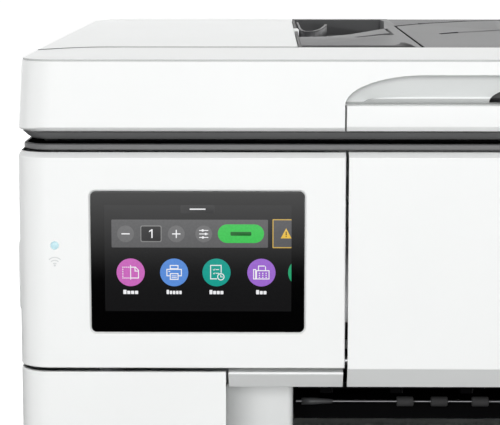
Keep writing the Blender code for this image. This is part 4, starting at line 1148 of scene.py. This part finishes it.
def make_inside():
    """Finishes for the CAD nodes that stay, and small parts round them."""
    keep(STEEL, "print_chassis", "carriage_rail", "scan_rail", "carriage_motor", width=0.0003)
    keep(DARK_AND_SHADE, "tray_extension", "scan_bar", "adf_guide_front", "adf_guide_rear", "display_module")
    # Black plastic; on the base pan it also serves as painted shade deep in the bay.
    keep(BLACK_AND_SHADE, "base_pan", "power_inlet")
    # The output tray is black plastic, made darker still as painted shade in the bay.
    keep(SHELF_BLACK_AND_SHADE, "output_tray")
    # The platen, carriage, star bar and station are black plastic, made darker still and without
    # reflection as painted shade in the bay.
    keep(INNER_BLACK_AND_SHADE, "platen", "print_carriage", "star_wheel_bar", "service_station")
    keep(GREY, "power_supply", width=0.0012)
    keep(BOARD, "main_board", width=0.0)
    keep(WHITE, "rear_cover", width=0.0005)
    keep(BED_GLASS, "scan_glass", width=0.0002)
    for node, finish in INKS.items():
        keep(finish, node, width=0.0008)
    keep(RUBBER, "foot_front_left", "foot_front_right", "foot_rear_left", "foot_rear_right",
         width=0.0006)

    low, high = BOX["lid_pad"]
    pad = stack("pad_foam", "Z", [
        (plan(low.x + g, low.y + g, high.x - g, high.y - g, 0.006, 6), z)
        for g, z in ((0.004, high.z), (0.0008, high.z - 0.0006), (0.0, (low.z + high.z) / 2),
                     (0.0008, low.z + 0.0008), (0.004, low.z))])
    stand_for(pad, "lid_pad", FOAM, width=0)

    low = BOX["star_wheel_bar"][0]
    wheels = []
    for i in range(8):
        x = -0.133 + i * 0.038
        star = []
        for k in range(32):
            radius = 0.003 if k % 2 else 0.0036
            star.append((-0.173 + radius * math.cos(k * math.tau / 32),
                         low.z + 0.0022 + radius * math.sin(k * math.tau / 32)))
        wheels.append(slab(star, x + 0.0033, x + 0.0041, "X"))
    place(gather("star_wheels", wheels), BLACK_AND_SHADE, "body", width=0)
    strip = [cuboid((-0.25, -0.034, 0.292), (0.25, -0.0336, 0.298)),
             cuboid((-0.25, -0.0345, 0.2925), (-0.247, -0.0325, 0.2975)),
             cuboid((0.247, -0.0345, 0.2925), (0.25, -0.0325, 0.2975))]
    place(gather("encoder_strip", strip), SEAM_GREY, "body", width=0)

    low, high = BOX["rear_door"]
    door = stack("rear_door_skin", "Y", [
        (plan(low.x + g, low.z + g, high.x - g, high.z - g, 0.003, 6), y)
        for g, y in ((0.0, low.y), (0.0, high.y - 0.0006), (0.0006, high.y))])
    slots = []
    for i in range(9):
        z = low.z + 0.018 + i * 0.0065
        slot = plan(-0.145, z, 0.145, z + 0.0022, 0.001, 4)
        slots.append(slab(slot, high.y - 0.0012, high.y + 0.001))
    cut(door, gather("door_lines", slots))
    grip = plan(-0.03, high.z - 0.02, 0.03, high.z - 0.0075, 0.005, 8)
    cut(door, prism("door_grip", grip, high.y - 0.005, high.y + 0.001, "Y"))
    stand_for(door, "rear_door", DARK_AND_SHADE, width=0.0003)

    screws = []
    for x, z in ((-0.245, 0.028), (0.245, 0.028), (-0.245, 0.325), (0.245, 0.325), (0.0, 0.325)):
        screws.append(rod((x, z), 0.0032, REAR - 0.001, REAR - 0.0002, "Y", 24))
    place(gather("rear_screws", screws), STEEL, "body", width=0.0003)

    for name, x, z, width, height in (("network_socket", 0.214, 0.078, 0.0164, 0.0144),
                                      ("usb_socket", 0.214, 0.102, 0.0124, 0.0104)):
        outer = Vector((width / 2 + 0.0014, 0.0, height / 2 + 0.0014))
        inner = Vector((width / 2, 0.0, height / 2))
        socket = brick(name, Vector((x, REAR - 0.012, z)) - outer,
                       Vector((x, REAR - 0.0027, z)) + outer)
        cut(socket, brick(name + "_recess", Vector((x, REAR - 0.0085, z)) - inner,
                          Vector((x, REAR + 0.001, z)) + inner))
        place(socket, BLACK_AND_SHADE, "body", slot="black_plastic", width=0)


# ---- stage

# The camera fitted to the photograph. The lights: name, place, target, width, height and watts.
CAMERA_PLACE = (-0.1631, -1.166, 0.4502)
CAMERA_TILT = 90 - 8.491
CAMERA_TURN = 0.632
LENS = 134.49
SENSOR = 36.0
FLOOR_SIZE = 30.0
BACKDROP_LIGHT = 3.1
SKY_LIGHT = 0.1
GLARE_LIGHT = 2.15
LIGHTS = (
    ("key", (-0.1, -3.2, 0.85), (-0.1, 0.0, 0.3), 3.0, 1.6, 84),
    ("overhead", (0.0, 0.2, 2.6), (0.0, 0.0, 0.3), 2.4, 2.4, 32),
    ("fill_left", (-3.0, -0.6, 1.1), (0.0, 0.0, 0.2), 1.6, 1.6, 15),
    ("fill_right", (3.0, 0.2, 1.3), (0.0, 0.0, 0.2), 1.8, 1.6, 44),
    ("fill_back", (-0.8, 2.8, 1.9), (0.0, 0.1, 0.2), 2.2, 1.6, 45),
)


def make_camera():
    """The scene camera, in the place of the photograph's."""
    data = bpy.data.cameras.new("camera")
    data.lens = LENS
    data.sensor_width = SENSOR
    data.clip_start = 0.05
    data.clip_end = 60.0
    camera = bpy.data.objects.new("camera", data)
    scene.collection.objects.link(camera)
    camera.location = CAMERA_PLACE
    camera.rotation_euler = (math.radians(CAMERA_TILT), 0, math.radians(CAMERA_TURN))
    scene.camera = camera


def softbox(name, location, target, width, height, watts):
    """A rectangular light that looks at a point."""
    data = bpy.data.lights.new(name, "AREA")
    data.shape = "RECTANGLE"
    data.size = width
    data.size_y = height
    data.energy = watts
    light = bpy.data.objects.new(name, data)
    scene.collection.objects.link(light)
    light.location = location
    light.rotation_euler = (Vector(target) - Vector(location)).to_track_quat("-Z", "Y").to_euler()
    return light


def make_stage():
    """The pale floor, which shines for the camera only, and a white studio round it."""
    floor = linked("floor", bpy.data.meshes.new("floor"))
    shape = bmesh.new()
    bmesh.ops.create_grid(shape, x_segments=1, y_segments=1, size=FLOOR_SIZE)
    shape.to_mesh(floor.data)
    shape.free()
    pale, nodes, link, shader = new_material("pale_floor")
    shader.inputs["Base Color"].default_value = (0.3, 0.3, 0.3, 1)
    shader.inputs["Roughness"].default_value = 0.9
    shader.inputs["Specular IOR Level"].default_value = 0.0
    shader.inputs["Emission Color"].default_value = (1, 1, 1, 1)
    path = nodes.new("ShaderNodeLightPath")
    link(path.outputs["Is Camera Ray"], shader.inputs["Emission Strength"])
    floor.data.materials.append(pale)
    floor.visible_glossy = False
    make_world()


def make_world():
    """Dim sky, a glow low behind the object, and under the horizon the glare in the touch glass."""
    world = bpy.data.worlds.new("studio")
    world.use_nodes = True
    scene.world = world
    nodes = world.node_tree.nodes
    link = world.node_tree.links.new
    sky = nodes["Background"]
    sky.inputs["Color"].default_value = (1, 1, 1, 1)
    coord = nodes.new("ShaderNodeTexCoord")
    split = nodes.new("ShaderNodeSeparateXYZ")
    glare = add_node(nodes, "MapRange", From_Min=-0.178, From_Max=-0.132, To_Min=0.0,
                     To_Max=GLARE_LIGHT)
    above = nodes.new("ShaderNodeMath")
    above.operation = "GREATER_THAN"
    above.inputs[1].default_value = 0.0
    low_band = add_node(nodes, "MapRange", From_Min=0.05, From_Max=0.2, To_Min=1.0, To_Max=0.0)
    behind = add_node(nodes, "MapRange", From_Min=0.2, From_Max=0.7)
    backdrop = nodes.new("ShaderNodeMath")
    backdrop.operation = "MULTIPLY"
    upper = add_node(nodes, "Mix", A=SKY_LIGHT, B=BACKDROP_LIGHT)
    whole = nodes.new("ShaderNodeMix")
    link(coord.outputs["Generated"], split.inputs["Vector"])
    link(split.outputs["Z"], glare.inputs["Value"])
    link(split.outputs["Z"], above.inputs[0])
    link(split.outputs["Z"], low_band.inputs["Value"])
    link(split.outputs["Y"], behind.inputs["Value"])
    link(low_band.outputs["Result"], backdrop.inputs[0])
    link(behind.outputs["Result"], backdrop.inputs[1])
    link(backdrop.outputs["Value"], upper.inputs["Factor"])
    link(above.outputs["Value"], whole.inputs["Factor"])
    link(glare.outputs["Result"], whole.inputs["A"])
    link(upper.outputs["Result"], whole.inputs["B"])
    link(whole.outputs["Result"], sky.inputs["Strength"])


def make_lights():
    """The soft lights; two of them stay out of reflections, and colours are shown as they are."""
    for light in LIGHTS:
        softbox(*light).visible_glossy = light[0] not in ("fill_back", "overhead")
    scene.view_settings.view_transform = "Standard"
    scene.view_settings.look = "None"


make_camera()
make_stage()
make_lights()
make_covers()
make_bay_sides()
make_housing()
make_door()
make_lid()
make_lip()
make_rim()
make_feeder()
make_trays()
make_rollers()
make_screen()
make_inside()
